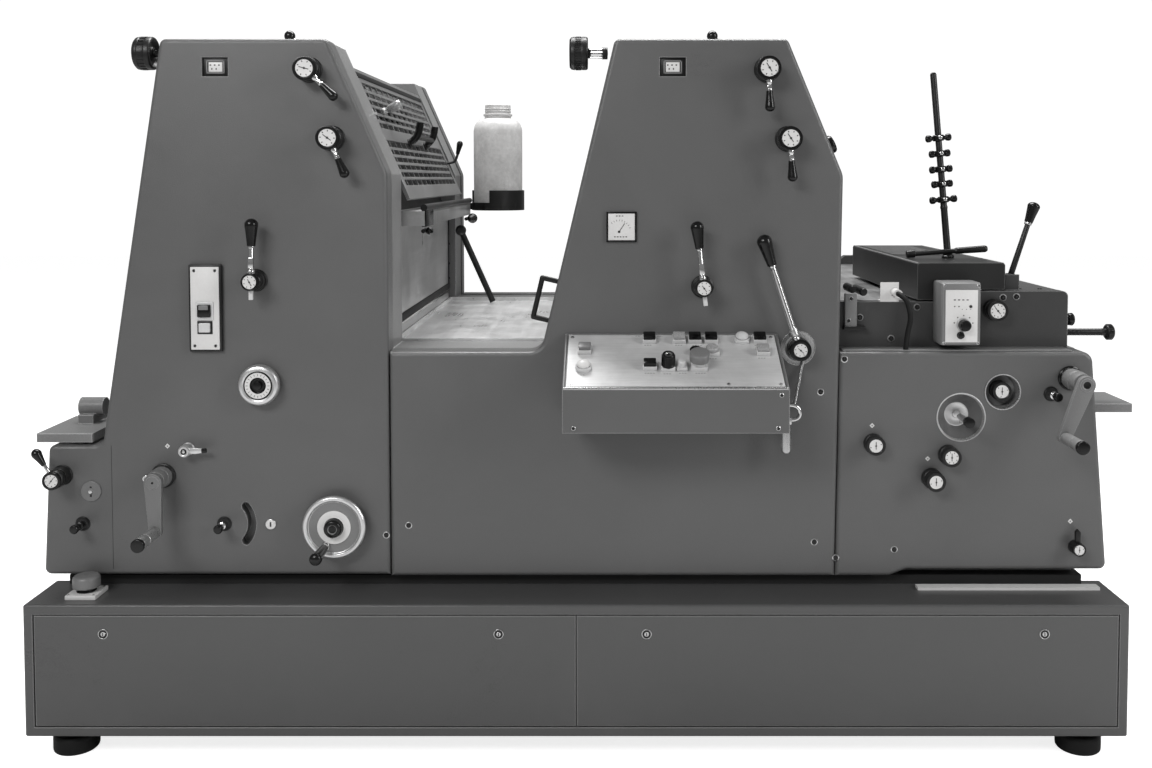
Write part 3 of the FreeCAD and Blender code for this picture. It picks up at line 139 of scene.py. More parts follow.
floor_mesh = bpy.data.meshes.new("floor")
half = FLOOR_SIZE / 2
floor_mesh.from_pydata([(-half, -half, 0), (half, -half, 0), (half, half, 0), (-half, half, 0)], [],
    [(0, 1, 2, 3)])
floor = bpy.data.objects.new("floor", floor_mesh)
floor_mesh.materials.append(plain_material("pale_floor", (0.72, 0.72, 0.72), 0.8))
floor_tree = floor_mesh.materials[0].node_tree
floor_shader = floor_tree.nodes["Principled BSDF"]
floor_shader.inputs["Emission Color"].default_value = (1, 1, 1, 1)
floor_tree.links.new(seen_level(floor_tree, FLOOR_LIGHT, FLOOR_SEEN),
    floor_shader.inputs["Emission Strength"])
scene.collection.objects.link(floor)

world = bpy.data.worlds.new("studio")
scene.world = world
world.use_nodes = True
surround = world.node_tree.nodes["Background"]
surround.inputs["Color"].default_value = (1, 1, 1, 1)
world.node_tree.links.new(seen_level(world.node_tree, SURROUND_LIGHT, SURROUND_SEEN),
    surround.inputs["Strength"])
scene.view_settings.view_transform = "Standard"


def softbox(name, place, aim, size, power):
    """A rectangular area light that points from place to aim."""
    data = bpy.data.lights.new(name, "AREA")
    data.shape = "RECTANGLE"
    data.size, data.size_y = size
    data.energy = power
    light = bpy.data.objects.new(name, data)
    light.location = place
    light.rotation_euler = (Vector(aim) - Vector(place)).to_track_quat("-Z", "Y").to_euler()
    scene.collection.objects.link(light)


softbox("key_light", (-2.2, -4.2, 3.4), (0, 0, 0.9), (2.2, 1.2), 120)
softbox("side_light", (3.6, -2.4, 2.4), (0.2, 0, 0.9), (0.9, 2.4), 75)
softbox("top_light", (0, 0.6, 4.2), (0, 0, 0.8), (3.4, 1.0), 230)

# %% [markdown]
# ## Wear and grain, shared by every finish
# Enamel, cast iron, sheet metal and plastic differ in colour and gloss, but age in the same ways. A
# fine grain breaks the gloss, hands leave broad soft patches, and use leaves thin scratches. One
# shader group makes the three and each finish takes what it needs. The grain's stretch turns it into
# the long lines of ground metal. A second group rounds the normal at sharp edges, so that a rim
# catches the light, and tells how near an edge is, so that a finish can mix a lighter tone into its
# colour there: a painted highlight along the rim.

# %% Shader groups
SOCKETS = {"Float": "NodeSocketFloat", "Color": "NodeSocketColor", "Vector": "NodeSocketVector",
    "Geometry": "NodeSocketGeometry", "Int": "NodeSocketInt", "Material": "NodeSocketMaterial"}


def new_tree(name, kind, inputs, outputs):
    """An empty node group with named sockets; returns it with its input and output nodes."""
    tree = bpy.data.node_groups.new(name, kind)
    for label, socket, value in inputs:
        made = tree.interface.new_socket(name=label, in_out="INPUT", socket_type=SOCKETS[socket])
        if value is not None:
            made.default_value = value
    for label, socket in outputs:
        tree.interface.new_socket(name=label, in_out="OUTPUT", socket_type=SOCKETS[socket])
    return tree, tree.nodes.new("NodeGroupInput"), tree.nodes.new("NodeGroupOutput")


def add_node(tree, kind, links=None, **settings):
    """A node with its settings; links gives each input a value or another node's socket."""
    made = tree.nodes.new(kind)
    for key, value in settings.items():
        setattr(made, key, value)
    for key, value in (links or {}).items():
        if isinstance(value, bpy.types.NodeSocket):
            tree.links.new(value, made.inputs[key])
        else:
            made.inputs[key].default_value = value
    return made


def wear_group():
    tree, given, result = new_tree("wear_and_grain", "ShaderNodeTree", [("Grain", "Float", 700.0),
        ("Stretch", "Vector", (1, 1, 1)), ("Patches", "Float", 2.5), ("Scratches", "Float", 30.0),
        ("Scratch Share", "Float", 0.04)], [("Grain", "Float"), ("Patches", "Float"),
        ("Scratches", "Float")])
    place = add_node(tree, "ShaderNodeTexCoord").outputs["Object"]
    stretched = add_node(tree, "ShaderNodeVectorMath", {0: place, 1: given.outputs["Stretch"]},
        operation="MULTIPLY").outputs[0]
    grain = add_node(tree, "ShaderNodeTexNoise", {"Vector": stretched, "Scale": given.outputs["Grain"],
        "Detail": 2.0, "Roughness": 0.6})
    patches = add_node(tree, "ShaderNodeTexNoise", {"Vector": place, "Scale": given.outputs["Patches"],
        "Detail": 5.0, "Roughness": 0.62, "Distortion": 0.4})
    drift = add_node(tree, "ShaderNodeTexNoise", {"Vector": place, "Scale": 9.0, "Detail": 1.0})
    moved = add_node(tree, "ShaderNodeVectorMath", {0: drift.outputs["Color"], 1: place},
        operation="MULTIPLY_ADD")
    moved.inputs[1].default_value = (0.12, 0.12, 0.12)
    tree.links.new(place, moved.inputs[2])
    lines = add_node(tree, "ShaderNodeTexVoronoi", {"Vector": moved.outputs[0],
        "Scale": given.outputs["Scratches"]}, feature="DISTANCE_TO_EDGE")
    thin = add_node(tree, "ShaderNodeMapRange", {"Value": lines.outputs["Distance"], "From Min": 0.0,
        "From Max": 0.012, "To Min": 1.0, "To Max": 0.0})
    spots = add_node(tree, "ShaderNodeTexNoise", {"Vector": place, "Scale": 14.0, "Detail": 2.0})
    floor_value = add_node(tree, "ShaderNodeMath", {0: 0.78, 1: given.outputs["Scratch Share"]},
        operation="SUBTRACT")
    kept = add_node(tree, "ShaderNodeMapRange", {"Value": spots.outputs["Fac"],
        "From Min": floor_value.outputs[0], "From Max": 0.8})
    scratch = add_node(tree, "ShaderNodeMath", {0: thin.outputs["Result"], 1: kept.outputs["Result"]},
        operation="MULTIPLY")
    for label, socket in (("Grain", grain.outputs["Fac"]), ("Patches", patches.outputs["Fac"]),
            ("Scratches", scratch.outputs[0])):
        tree.links.new(socket, result.inputs[label])
    return tree


def rim_group():
    """Rounds the normal at an edge, and tells how near the edge is, where finishes paint a highlight along
    the rounded rim.
    """
    tree, given, result = new_tree("rounded_rim", "ShaderNodeTree", [("Radius", "Float", 0.003)],
        [("Normal", "Vector"), ("Rim", "Float")])
    rounded = add_node(tree, "ShaderNodeBevel", {"Radius": given.outputs["Radius"]}, samples=6)
    flat = add_node(tree, "ShaderNodeNewGeometry")
    turn = add_node(tree, "ShaderNodeVectorMath", {0: rounded.outputs["Normal"], 1: flat.outputs["Normal"]},
        operation="DOT_PRODUCT")
    rim = add_node(tree, "ShaderNodeMapRange", {"Value": turn.outputs["Value"], "From Min": 0.99,
        "From Max": 0.8, "To Min": 0.0, "To Max": 1.0})
    tree.links.new(rounded.outputs["Normal"], result.inputs["Normal"])
    tree.links.new(rim.outputs["Result"], result.inputs["Rim"])
    return tree


WEAR, RIM = wear_group(), rim_group()
GRAIN_SHARE = 0.45
TONE_SPAN = {"From Min": 0.35, "From Max": 0.9}
FINISHES = {}


def finish(name, dark, light, rough, metallic=0.0, grain=700.0, stretch=(1, 1, 1), bump=0.0004, patches=2.5,
        scratches=30.0, scratch_share=0.04, scratch_tone=0.5, coat=0.0, rim=0.0, rim_highlight_tone=0.3, shine=0.5):
    """A finish from the wear group: two tones, a span of roughness, and grain as a fine relief. Rim is the
    radius of its rounded edges, where a lighter tone is mixed into the colour as a painted highlight."""
    made = bpy.data.materials.new(name)
    made.use_nodes = True
    tree = made.node_tree
    shader = tree.nodes["Principled BSDF"]
    wear = add_node(tree, "ShaderNodeGroup", node_tree=WEAR)
    for label, value in (("Grain", grain), ("Stretch", stretch), ("Patches", patches),
            ("Scratches", scratches), ("Scratch Share", scratch_share)):
        wear.inputs[label].default_value = value
    blend = add_node(tree, "ShaderNodeMath", {0: wear.outputs["Grain"], 1: GRAIN_SHARE, 2: -0.1},
        operation="MULTIPLY_ADD")
    tone = add_node(tree, "ShaderNodeMath", {0: wear.outputs["Patches"], 1: blend.outputs[0]},
        operation="ADD")
    spread = add_node(tree, "ShaderNodeMapRange", {"Value": tone.outputs[0], **TONE_SPAN})
    base = add_node(tree, "ShaderNodeMix", {"Factor": spread.outputs["Result"]}, data_type="RGBA")
    base.inputs[6].default_value = (*dark, 1)
    base.inputs[7].default_value = (*light, 1)
    marked = add_node(tree, "ShaderNodeMix", {"Factor": wear.outputs["Scratches"]}, data_type="RGBA")
    tree.links.new(base.outputs[2], marked.inputs[6])
    marked.inputs[7].default_value = (scratch_tone, scratch_tone, scratch_tone, 1)
    colour = marked.outputs[2]
    gloss = add_node(tree, "ShaderNodeMapRange", {"Value": tone.outputs[0], **TONE_SPAN, "To Min": rough[0],
        "To Max": rough[1]})
    tree.links.new(gloss.outputs["Result"], shader.inputs["Roughness"])
    relief = add_node(tree, "ShaderNodeBump", {"Height": wear.outputs["Grain"], "Distance": bump,
        "Strength": 1.0})
    if rim:
        edge = add_node(tree, "ShaderNodeGroup", node_tree=RIM)
        edge.inputs["Radius"].default_value = rim
        # Along rounded edges a lighter tone is mixed into the colour as a painted highlight.
        rim_highlight = add_node(tree, "ShaderNodeMix", {"Factor": edge.outputs["Rim"]}, data_type="RGBA")
        tree.links.new(colour, rim_highlight.inputs[6])
        rim_highlight.inputs[7].default_value = (rim_highlight_tone, rim_highlight_tone, rim_highlight_tone, 1)
        colour = rim_highlight.outputs[2]
        tree.links.new(edge.outputs["Normal"], relief.inputs["Normal"])
    tree.links.new(colour, shader.inputs["Base Color"])
    tree.links.new(relief.outputs["Normal"], shader.inputs["Normal"])
    shader.inputs["Metallic"].default_value = metallic
    shader.inputs["Coat Weight"].default_value = coat
    shader.inputs["Coat Roughness"].default_value = 0.08
    shader.inputs["Specular IOR Level"].default_value = shine
    FINISHES[name] = made
    return made


def grey(value, warm=0.0):
    return value * (1 + warm), value, value * (1 - warm)


# %% [markdown]
# ## The finishes of the press
# The covers wear a fine hammered enamel that hides fingerprints; the base has a smoother, darker
# coat. Sheet guards and the tray are bare metal that cleaning rags have dulled and scored. Grips are
# glossy moulded plastic, rods are chromed, and dial faces are white enamel.

# %% Build the finishes
finish("cover_enamel", grey(0.088), grey(0.106), (0.26, 0.4), grain=900, bump=0.00035, scratch_share=-0.01,
    scratch_tone=0.2, rim=0.0035, rim_highlight_tone=0.34)
finish("base_enamel", grey(0.066), grey(0.08), (0.26, 0.4), grain=620, bump=0.0002, scratch_share=0.0,
    scratch_tone=0.16, rim=0.0035, rim_highlight_tone=0.3)
finish("dark_enamel", grey(0.034), grey(0.044), (0.28, 0.42), grain=620, bump=0.0002, scratch_tone=0.16,
    rim=0.003, rim_highlight_tone=0.24)
finish("frame_cast", grey(0.14), grey(0.2), (0.32, 0.48), grain=260, bump=0.0008, rim=0.004, rim_highlight_tone=0.5)
finish("black_enamel", grey(0.006), grey(0.011), (0.3, 0.45), grain=500, bump=0.0001, scratch_tone=0.1,
    rim=0.003, rim_highlight_tone=0.12)
# Near black that stands in for shade: painted shade in grooves, slots, sockets and the bottle's mouth, and on
# the inner housing and the deck that lie in shadow.
finish("painted_shade_black", grey(0.006), grey(0.012), (0.6, 0.8), grain=80, bump=0.0005)
finish("bare_sheet", grey(0.36), grey(0.62), (0.26, 0.48), metallic=0.9, grain=60, stretch=(1, 0.06, 1),
    bump=0.0001, patches=7, scratches=16, scratch_share=0.22, scratch_tone=0.16)
finish("ground_steel", grey(0.42), grey(0.62), (0.2, 0.36), metallic=1.0, grain=260, stretch=(1, 1, 0.05),
    bump=0.000004)
finish("spun_metal", grey(0.5), grey(0.66), (0.22, 0.34), metallic=0.85, grain=420, bump=0.000004)
finish("chrome", grey(0.6), grey(0.72), (0.08, 0.16), metallic=1.0, grain=120, bump=0.000002,
    scratch_share=-0.05)
finish("gloss_black", grey(0.002), grey(0.005), (0.16, 0.26), grain=300, bump=0.000004, scratch_tone=0.05,
    shine=0.36)
finish("satin_black", grey(0.005), grey(0.011), (0.3, 0.45), grain=420, bump=0.00004, scratch_tone=0.08,
    shine=0.36)
finish("dial_white", grey(0.58, 0.01), grey(0.66, 0.01), (0.3, 0.42), grain=200, bump=0.00004,
    scratch_share=-0.02)
finish("desk_plate", grey(0.42), grey(0.6), (0.3, 0.46), metallic=0.15, grain=240, stretch=(0.05, 1, 1),
    bump=0.00005, patches=9, scratches=40, scratch_share=0.16, scratch_tone=0.3)
finish("crank_grey", grey(0.12), grey(0.17), (0.3, 0.44), grain=600, bump=0.00006, rim=0.0015, rim_highlight_tone=0.4)
finish("tray_sheet", grey(0.6), grey(0.86), (0.24, 0.42), metallic=0.7, grain=60, stretch=(1, 0.06, 1),
    bump=0.00004, patches=9, scratches=16, scratch_share=0.22, scratch_tone=0.12)
finish("grille_sheet", grey(0.16), grey(0.3), (0.28, 0.42), metallic=0.6, grain=60, bump=0.00004, rim=0.0012,
    rim_highlight_tone=0.5)
finish("cap_grey", grey(0.14), grey(0.18), (0.35, 0.48), grain=420, bump=0.00012)
finish("lens_grey", grey(0.28), grey(0.36), (0.24, 0.34), grain=300, bump=0.00005)
finish("lens_pale", grey(0.52), grey(0.62), (0.16, 0.24), grain=260, bump=0.00004)
finish("bottle_plastic", grey(0.4, 0.01), grey(0.66, 0.01), (0.3, 0.5), grain=90, bump=0.0003, patches=12,
    scratches=34, scratch_share=0.4, scratch_tone=0.14)
finish("rubber", grey(0.002), grey(0.005), (0.55, 0.75), grain=340, bump=0.0002, scratch_tone=0.03, shine=0.3)
finish("roller_rubber", grey(0.014), grey(0.03), (0.16, 0.3), grain=180, stretch=(1, 0.2, 1), bump=0.00006)
finish("print_black", grey(0.012), grey(0.02), (0.4, 0.5), grain=200, bump=0.00002)
print("finishes:", len(FINISHES))

# %% [markdown]
# ## Dress the solids
# Solids that already have the right shape only need a finish. The table says which.

# %% Finishes of the solids that stay
NODE_FINISH = {
    "cover_enamel": ["cover_delivery", "cover_printing", "cover_feeder", "covers_drive_side", "console"],
    "dark_enamel": ["feeder_housing"],
    "base_enamel": ["base_box_operator", "base_box_drive", "base_panels"],
    "frame_cast": ["side_frame_operator", "side_frame_drive", "side_shelves"],
    # The inner housing behind the grille and the base deck under the covers are near black: painted shade, as
    # they lie in shadow.
    "painted_shade_black": ["inner_housing", "base_deck"],
    "bare_sheet": ["apron", "slope_guards", "pile_boards", "feed_table"],
    "grille_sheet": ["guard_grille"],
    "tray_sheet": ["tray"],
    "ground_steel": ["ink_fountains"],
    "roller_rubber": ["ink_rollers"],
    "satin_black": ["bottle_holder", "prop_rod", "grab_handle"],
    "black_enamel": ["feeder_head"],
    "rubber": ["control_lead"],
    # The base rail is steel; its dial white colour is a painted reflection of the light on it.
    "dial_white": ["lead_bracket", "base_rail"],
    "desk_plate": ["console_plate"],
    "gloss_black": ["feeder_lever"],
}
dressed = {node: name for name, nodes in NODE_FINISH.items() for node in nodes}
for node, solid in NODES.items():
    solid.data.materials.clear()
    solid.data.materials.append(FINISHES[dressed.get(node, "satin_black")])
print("dressed:", len(dressed), "of", len(NODES))

# %% [markdown]
# ## A small workshop
# Most of what a hand touches here is turned on a lathe: hubs, knobs, grips, wheels. The rest is bent
# from rod or milled from plate. One class collects such shapes into one mesh with several finishes.
# Turned shapes are drawn as a profile and spun in code, which gives clean rings of quads; every
# corner is rounded a little, because a real edge always catches some light.

# %% The workshop
SHARP_ANGLE = math.radians(33)
FACE_ON = Matrix.Rotation(math.pi / 2, 4, "X")
TO_FRONT, TO_DRIVE, TO_FEEDER = (math.pi / 2, 0, 0), (-math.pi / 2, 0, 0), (0, math.pi / 2, 0)


def offset(x, y, z):
    return Matrix.Translation((x, y, z))


def drawn_at(spot):
    """A place for drawing in millimetres, with its origin at a spot of the frame."""
    return Matrix.Translation(spot) @ Matrix.Scale(MM, 4)


RULER = drawn_at(BASE_MIDDLE)


def eased(profile, edge):
    """The profile with its corners rounded by short chords."""
    smooth = [profile[0]]
    for before, corner, after in zip(profile, profile[1:], profile[2:]):
        here = Vector(corner[:2])
        back, ahead = (Vector(before[:2]) - here, Vector(after[:2]) - here)
        reach = min(edge, 0.4 * back.length, 0.4 * ahead.length)
        if reach < 0.02 or back.angle(-ahead) < 0.3:
            smooth.append(corner)
            continue
        start = here + back.normalized() * reach
        stop = here + ahead.normalized() * reach
        middle = (start + stop) / 4 + here / 2
        smooth += [(*start, before[2]), (*middle, before[2]), (*stop, corner[2])]
    return smooth + [profile[-1]]


def evaluated(thing):
    """A plain mesh of an object with its curve bevel or modifiers done; the object goes away."""
    scene.collection.objects.link(thing)
    graph = bpy.context.evaluated_depsgraph_get()
    graph.update()
    mesh = bpy.data.meshes.new_from_object(thing.evaluated_get(graph), depsgraph=graph)
    bpy.data.objects.remove(thing, do_unlink=True)
    return mesh


class Piece:
    """A piece in the making: one mesh and its finishes, drawn in millimetres in a place of its own."""

    def __init__(self, name, where=RULER, slot="black_plastic"):
        self.name = name
        self.where = where
        self.material_slot = slot
        self.mesh = bmesh.new()
        self.finishes = []

    def slot(self, finish_name):
        if finish_name not in self.finishes:
            self.finishes.append(finish_name)
        return self.finishes.index(finish_name)

    def turned(self, steps, finish_name, place=(0, 0, 0), along=FRONT, edge=0.6, sides=40):
        """A lathe: each step is a distance along the axis and a radius, and may change the finish. Both
        ends are closed down to the axis."""
        profile = []
        for step in steps:
            if not profile and step[1] > 0:
                profile.append((step[0], 0, finish_name))
            finish_name = step[2] if len(step) > 2 else finish_name
            profile.append((step[0], step[1], finish_name))
        if profile[-1][1] > 0:
            profile.append((profile[-1][0], 0, finish_name))
        profile = eased(profile, edge)
        turn = Vector(along).to_track_quat("Z", "Y").to_matrix().to_4x4()
        matrix = self.where @ Matrix.Translation(place) @ turn
        rings = []
        for distance, radius, _ in profile:
            angles = [math.tau * i / sides for i in range(sides if radius > 0 else 1)]
            rings.append([self.mesh.verts.new(matrix @ Vector((radius * math.cos(angle),
                radius * math.sin(angle), distance))) for angle in angles])
        for low, high, step in zip(rings, rings[1:], profile):
            for i in range(sides):
                after = (i + 1) % sides
                corners = [low[i % len(low)], low[after % len(low)], high[after % len(high)],
                    high[i % len(high)]]
                corners = list(dict.fromkeys(corners))
                if len(corners) > 2:
                    self.mesh.faces.new(corners).material_index = self.slot(step[2])
        return self

    def add(self, mesh, place=None, finish_name=None):
        """Joins a mesh drawn in this piece's millimetres."""
        first_vert, first_face = (len(self.mesh.verts), len(self.mesh.faces))
        self.mesh.from_mesh(mesh)
        self.mesh.verts.ensure_lookup_table()
        self.mesh.faces.ensure_lookup_table()
        bmesh.ops.transform(self.mesh, matrix=self.where @ (place or Matrix()),
            verts=self.mesh.verts[first_vert:])
        known = {material.name: name for name, material in FINISHES.items()}
        names = [finish_name] if finish_name else [known.get(material.name) if material else None
            for material in mesh.materials]
        for face in self.mesh.faces[first_face:]:
            face.material_index = self.slot(names[min(face.material_index, len(names) - 1)])
        bpy.data.meshes.remove(mesh)
        return self

    def plate(self, outline, thickness, finish_name, place=None, edge=0.8):
        """A flat outline in X and Z, as thick as given towards the operator, with rounded edges."""
        shape = bmesh.new()
        near = [shape.verts.new((x, -thickness, z)) for x, z in outline]
        far = [shape.verts.new((x, 0, z)) for x, z in outline]
        shape.faces.new(near)
        shape.faces.new(far[::-1])
        for i in range(len(outline)):
            after = (i + 1) % len(outline)
            shape.faces.new((near[i], far[i], far[after], near[after]))
        bmesh.ops.recalc_face_normals(shape, faces=shape.faces[:])
        rims = [rim for rim in shape.edges if rim.calc_face_angle(0.0) > SHARP_ANGLE]
        if edge:
            bmesh.ops.bevel(shape, geom=rims, offset=edge, segments=2, profile=0.5, affect="EDGES")
        mesh = bpy.data.meshes.new("plate")
        shape.to_mesh(mesh)
        shape.free()
        return self.add(mesh, place, finish_name)

    def block(self, low, high, finish_name, edge=0.8, place=None):
        """A box with rounded edges between two corners."""
        outline = [(low[0], low[2]), (high[0], low[2]), (high[0], high[2]), (low[0], high[2])]
        shift = offset(0, high[1], 0)
        return self.plate(outline, high[1] - low[1], finish_name, (place or Matrix()) @ shift, edge)

    def border(self, low, high, width, finish_name, edge):
        """Four bars just inside the rim of a box that is flat in Y."""
        (x, y, z), (x_end, y_end, z_end) = (low, high)
        for start, stop in ((low, (x_end, y_end, z + width)), ((x, y, z_end - width), high),
                (low, (x + width, y_end, z_end)), ((x_end - width, y, z), high)):
            self.block(start, stop, finish_name, edge)

    def bar(self, points, radius, finish_name, place=None):
        """A round bar bent smoothly along the points, with closed ends."""
        curve = bpy.data.curves.new("bar", "CURVE")
        curve.dimensions = "3D"
        curve.bevel_depth = radius
        curve.bevel_resolution = 5
        curve.use_fill_caps = True
        spline = curve.splines.new("NURBS")
        spline.points.add(len(points) - 1)
        for point, spot in zip(spline.points, points):
            point.co = (*spot, 1)
        spline.order_u = min(3, len(points))
        spline.use_endpoint_u = True
        return self.add(evaluated(bpy.data.objects.new("bar", curve)), place, finish_name)

    def screws(self, points, radius, height, head="gloss_black", facing=TO_FRONT, washer="ground_steel",
            socket="painted_shade_black"):
        """Socket screws at the points; facing gives the angles that turn them from up. The socket's dark
        colour is painted shade for its recess.
        """
        return self.add(grow(SCREWS, points, Radius=radius, Height=height, Facing=facing, Washer=washer,
            Head=head, Socket=socket))

    def ring(self, count, radius, size, finish_name, place, start=0.0):
        """Equal blocks all round the Z axis of a place."""
        return self.add(grow(RING, Count=count, Radius=radius, Size=size, Start=start, Step=math.tau / count,
            Finish=finish_name), place)

    def row(self, count, first, step, size, finish_name="print_black"):
        """Equal blocks in a straight row."""
        return self.add(grow(ROW, Count=count, First=first, Step=step, Size=size, Finish=finish_name))

    def done(self, body=ROOT, replaced=()):
        """Turns the work into an object that rides its body and stands for the replaced nodes."""
        for rim in self.mesh.edges:
            rim.smooth = len(rim.link_faces) != 2 or rim.calc_face_angle(0.0) < SHARP_ANGLE
        for face in self.mesh.faces:
            face.smooth = True
        mesh = bpy.data.meshes.new(self.name)
        self.mesh.to_mesh(mesh)
        self.mesh.free()
        for name in self.finishes:
            mesh.materials.append(FINISHES[name])
        made = bpy.data.objects.new(self.name, mesh)
        scene.collection.objects.link(made)
        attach(made, body)
        if replaced:
            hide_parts(*replaced)
        print(self.name, len(mesh.polygons), "faces")
        return made


# %% [markdown]
# ## Things that repeat
# Dial ticks, knurls, screws and rows of keys all repeat one small shape. Geometry Nodes do this
# well: a tree says what repeats and how, and named inputs say how many and how large. Three trees
# serve the whole press: marks in a ring, marks in a row, and screws at chosen points. Each result is
# turned into a plain mesh before it joins its piece.

# %% Trees for what repeats
def repeated(tree, result, points, thing, rotation=None, finish=None):
    """Puts the thing at the points, makes it real, dresses it and sends it to the group's output."""
    links = {"Points": points, "Instance": thing}
    if rotation:
        links["Rotation"] = rotation
    placed = add_node(tree, "GeometryNodeInstanceOnPoints", links)
    real = add_node(tree, "GeometryNodeRealizeInstances", {"Geometry": placed.outputs[0]})
    if finish:
        real = add_node(tree, "GeometryNodeSetMaterial", {"Geometry": real.outputs[0], "Material": finish})
    tree.links.new(real.outputs[0], result.inputs[0])
    return tree


def ring_tree():
    """A block repeated round the Z axis."""
    tree, given, result = new_tree("marks_in_a_ring", "GeometryNodeTree", [("Geometry", "Geometry", None),
        ("Count", "Int", 10), ("Radius", "Float", 10.0), ("Size", "Vector", (1, 1, 1)),
        ("Start", "Float", 0.0), ("Step", "Float", 0.6), ("Finish", "Material", None)],
        [("Geometry", "Geometry")])
    inputs = given.outputs
    mark = add_node(tree, "GeometryNodeMeshCube", {"Size": inputs["Size"]})
    reach = add_node(tree, "ShaderNodeCombineXYZ", {"X": inputs["Radius"]})
    moved = add_node(tree, "GeometryNodeTransform", {"Geometry": mark.outputs["Mesh"],
        "Translation": reach.outputs[0]})
    points = add_node(tree, "GeometryNodePoints", {"Count": inputs["Count"]})
    index = add_node(tree, "GeometryNodeInputIndex")
    angle = add_node(tree, "ShaderNodeMath", {0: index.outputs[0], 1: inputs["Step"], 2: inputs["Start"]},
        operation="MULTIPLY_ADD")
    turn = add_node(tree, "ShaderNodeCombineXYZ", {"Z": angle.outputs[0]})
    rotation = add_node(tree, "FunctionNodeEulerToRotation", {"Euler": turn.outputs[0]})
    return repeated(tree, result, points.outputs[0], moved.outputs[0], rotation.outputs[0], inputs["Finish"])


def row_tree():
    """A block repeated along a line."""
    tree, given, result = new_tree("marks_in_a_row", "GeometryNodeTree", [("Geometry", "Geometry", None),
        ("Count", "Int", 10), ("First", "Vector", (0, 0, 0)), ("Step", "Vector", (1, 0, 0)),
        ("Size", "Vector", (1, 1, 1)), ("Finish", "Material", None)], [("Geometry", "Geometry")])
    inputs = given.outputs
    line = add_node(tree, "GeometryNodeMeshLine", {"Count": inputs["Count"],
        "Start Location": inputs["First"], "Offset": inputs["Step"]}, mode="OFFSET")
    mark = add_node(tree, "GeometryNodeMeshCube", {"Size": inputs["Size"]})
    return repeated(tree, result, line.outputs[0], mark.outputs["Mesh"], finish=inputs["Finish"])


def screw_tree():
    """A socket screw at each point of the given mesh: a washer, a head and a dark six-sided socket, whose
    dark colour is painted shade standing in for the recess.
    """
    tree, given, result = new_tree("screws_at_points", "GeometryNodeTree", [("Geometry", "Geometry", None),
        ("Radius", "Float", 5.0), ("Height", "Float", 2.0), ("Facing", "Vector", (0, 0, 0)),
        ("Washer", "Material", None), ("Head", "Material", None), ("Socket", "Material", None)],
        [("Geometry", "Geometry")])
    inputs = given.outputs
    layers = []
    for share, height, sides, label in ((1.0, 0.35, 20, "Washer"), (0.78, 1.0, 20, "Head"),
            (0.4, 1.1, 6, "Socket")):
        radius = add_node(tree, "ShaderNodeMath", {0: inputs["Radius"], 1: share}, operation="MULTIPLY")
        depth = add_node(tree, "ShaderNodeMath", {0: inputs["Height"], 1: height}, operation="MULTIPLY")
        disc = add_node(tree, "GeometryNodeMeshCone", {"Vertices": sides, "Depth": depth.outputs[0],
            "Radius Bottom": radius.outputs[0]})
        top = add_node(tree, "ShaderNodeMath", {0: radius.outputs[0], 1: 0.82}, operation="MULTIPLY")
        tree.links.new(top.outputs[0], disc.inputs["Radius Top"])
        dressed = add_node(tree, "GeometryNodeSetMaterial", {"Geometry": disc.outputs["Mesh"],
            "Material": inputs[label]})
        layers.append(dressed.outputs[0])
    screw = add_node(tree, "GeometryNodeJoinGeometry")
    for layer in reversed(layers):
        tree.links.new(layer, screw.inputs[0])
    rotation = add_node(tree, "FunctionNodeEulerToRotation", {"Euler": inputs["Facing"]})
    return repeated(tree, result, inputs["Geometry"], screw.outputs[0], rotation.outputs[0])


RING, ROW, SCREWS = ring_tree(), row_tree(), screw_tree()


def grow(tree, points=(), **values):
    """A plain mesh from a tree; values are its named inputs, and points the vertices that it starts from."""
    start = bpy.data.meshes.new("start")
    start.from_pydata(points, [], [])
    thing = bpy.data.objects.new(tree.name, start)
    modifier = thing.modifiers.new(tree.name, "NODES")
    modifier.node_group = tree
    sockets = {item.name: item.identifier for item in tree.interface.items_tree if item.in_out == "INPUT"}
    for label, value in values.items():
        modifier[sockets[label]] = FINISHES[value] if isinstance(value, str) else value
    return evaluated(thing)


def hub_place(node, lean=0.0):
    """Where a hand control turns: its pivot in the plane behind its hub, leaning by some degrees."""
    spot = Vector((PIVOTS[node].x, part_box(node)[1].y, PIVOTS[node].z))
    return Matrix.Translation(spot) @ Matrix.Rotation(math.radians(lean), 4, "Y") @ Matrix.Scale(MM, 4)


def on_ruler(node):
    """The place of a pivot in millimetres from the middle of the base."""
    return (PIVOTS[node] - BASE_MIDDLE) / MM


print("trees:", RING.name, ROW.name, SCREWS.name)

# %% [markdown]
# ## Dial faces
# Many controls end in a white enamelled disc with short black ticks, a small needle and a dot in the
# middle. The disc lies a little below its black rim. Ticks are geometry rather than a picture, so
# they stay crisp from near by.

# %% Dial faces
def dial_face(piece, depth, radius, ticks=10, needle=35.0, place=(0, 0, 0)):
    """Ticks, needle and dot on a white disc that faces the operator."""
    shift = Matrix.Translation(place) @ offset(0, -depth, 0)
    long = max(2.2, radius * 0.17)
    piece.ring(ticks, radius * 0.78, (long, long * 0.62, 0.3), "print_black", shift @ FACE_ON, start=0.3)
    piece.turned([(0, radius * 0.13), (0.7, radius * 0.13)], "print_black", Vector(place)
        - Vector((0, depth, 0)), sides=16, edge=0.1)
    turn = shift @ Matrix.Rotation(math.radians(needle), 4, "Y")
    piece.block((-radius * 0.045, -0.4, -radius * 0.5), (radius * 0.045, 0, radius * 0.62), "print_black",
        0.05, turn)


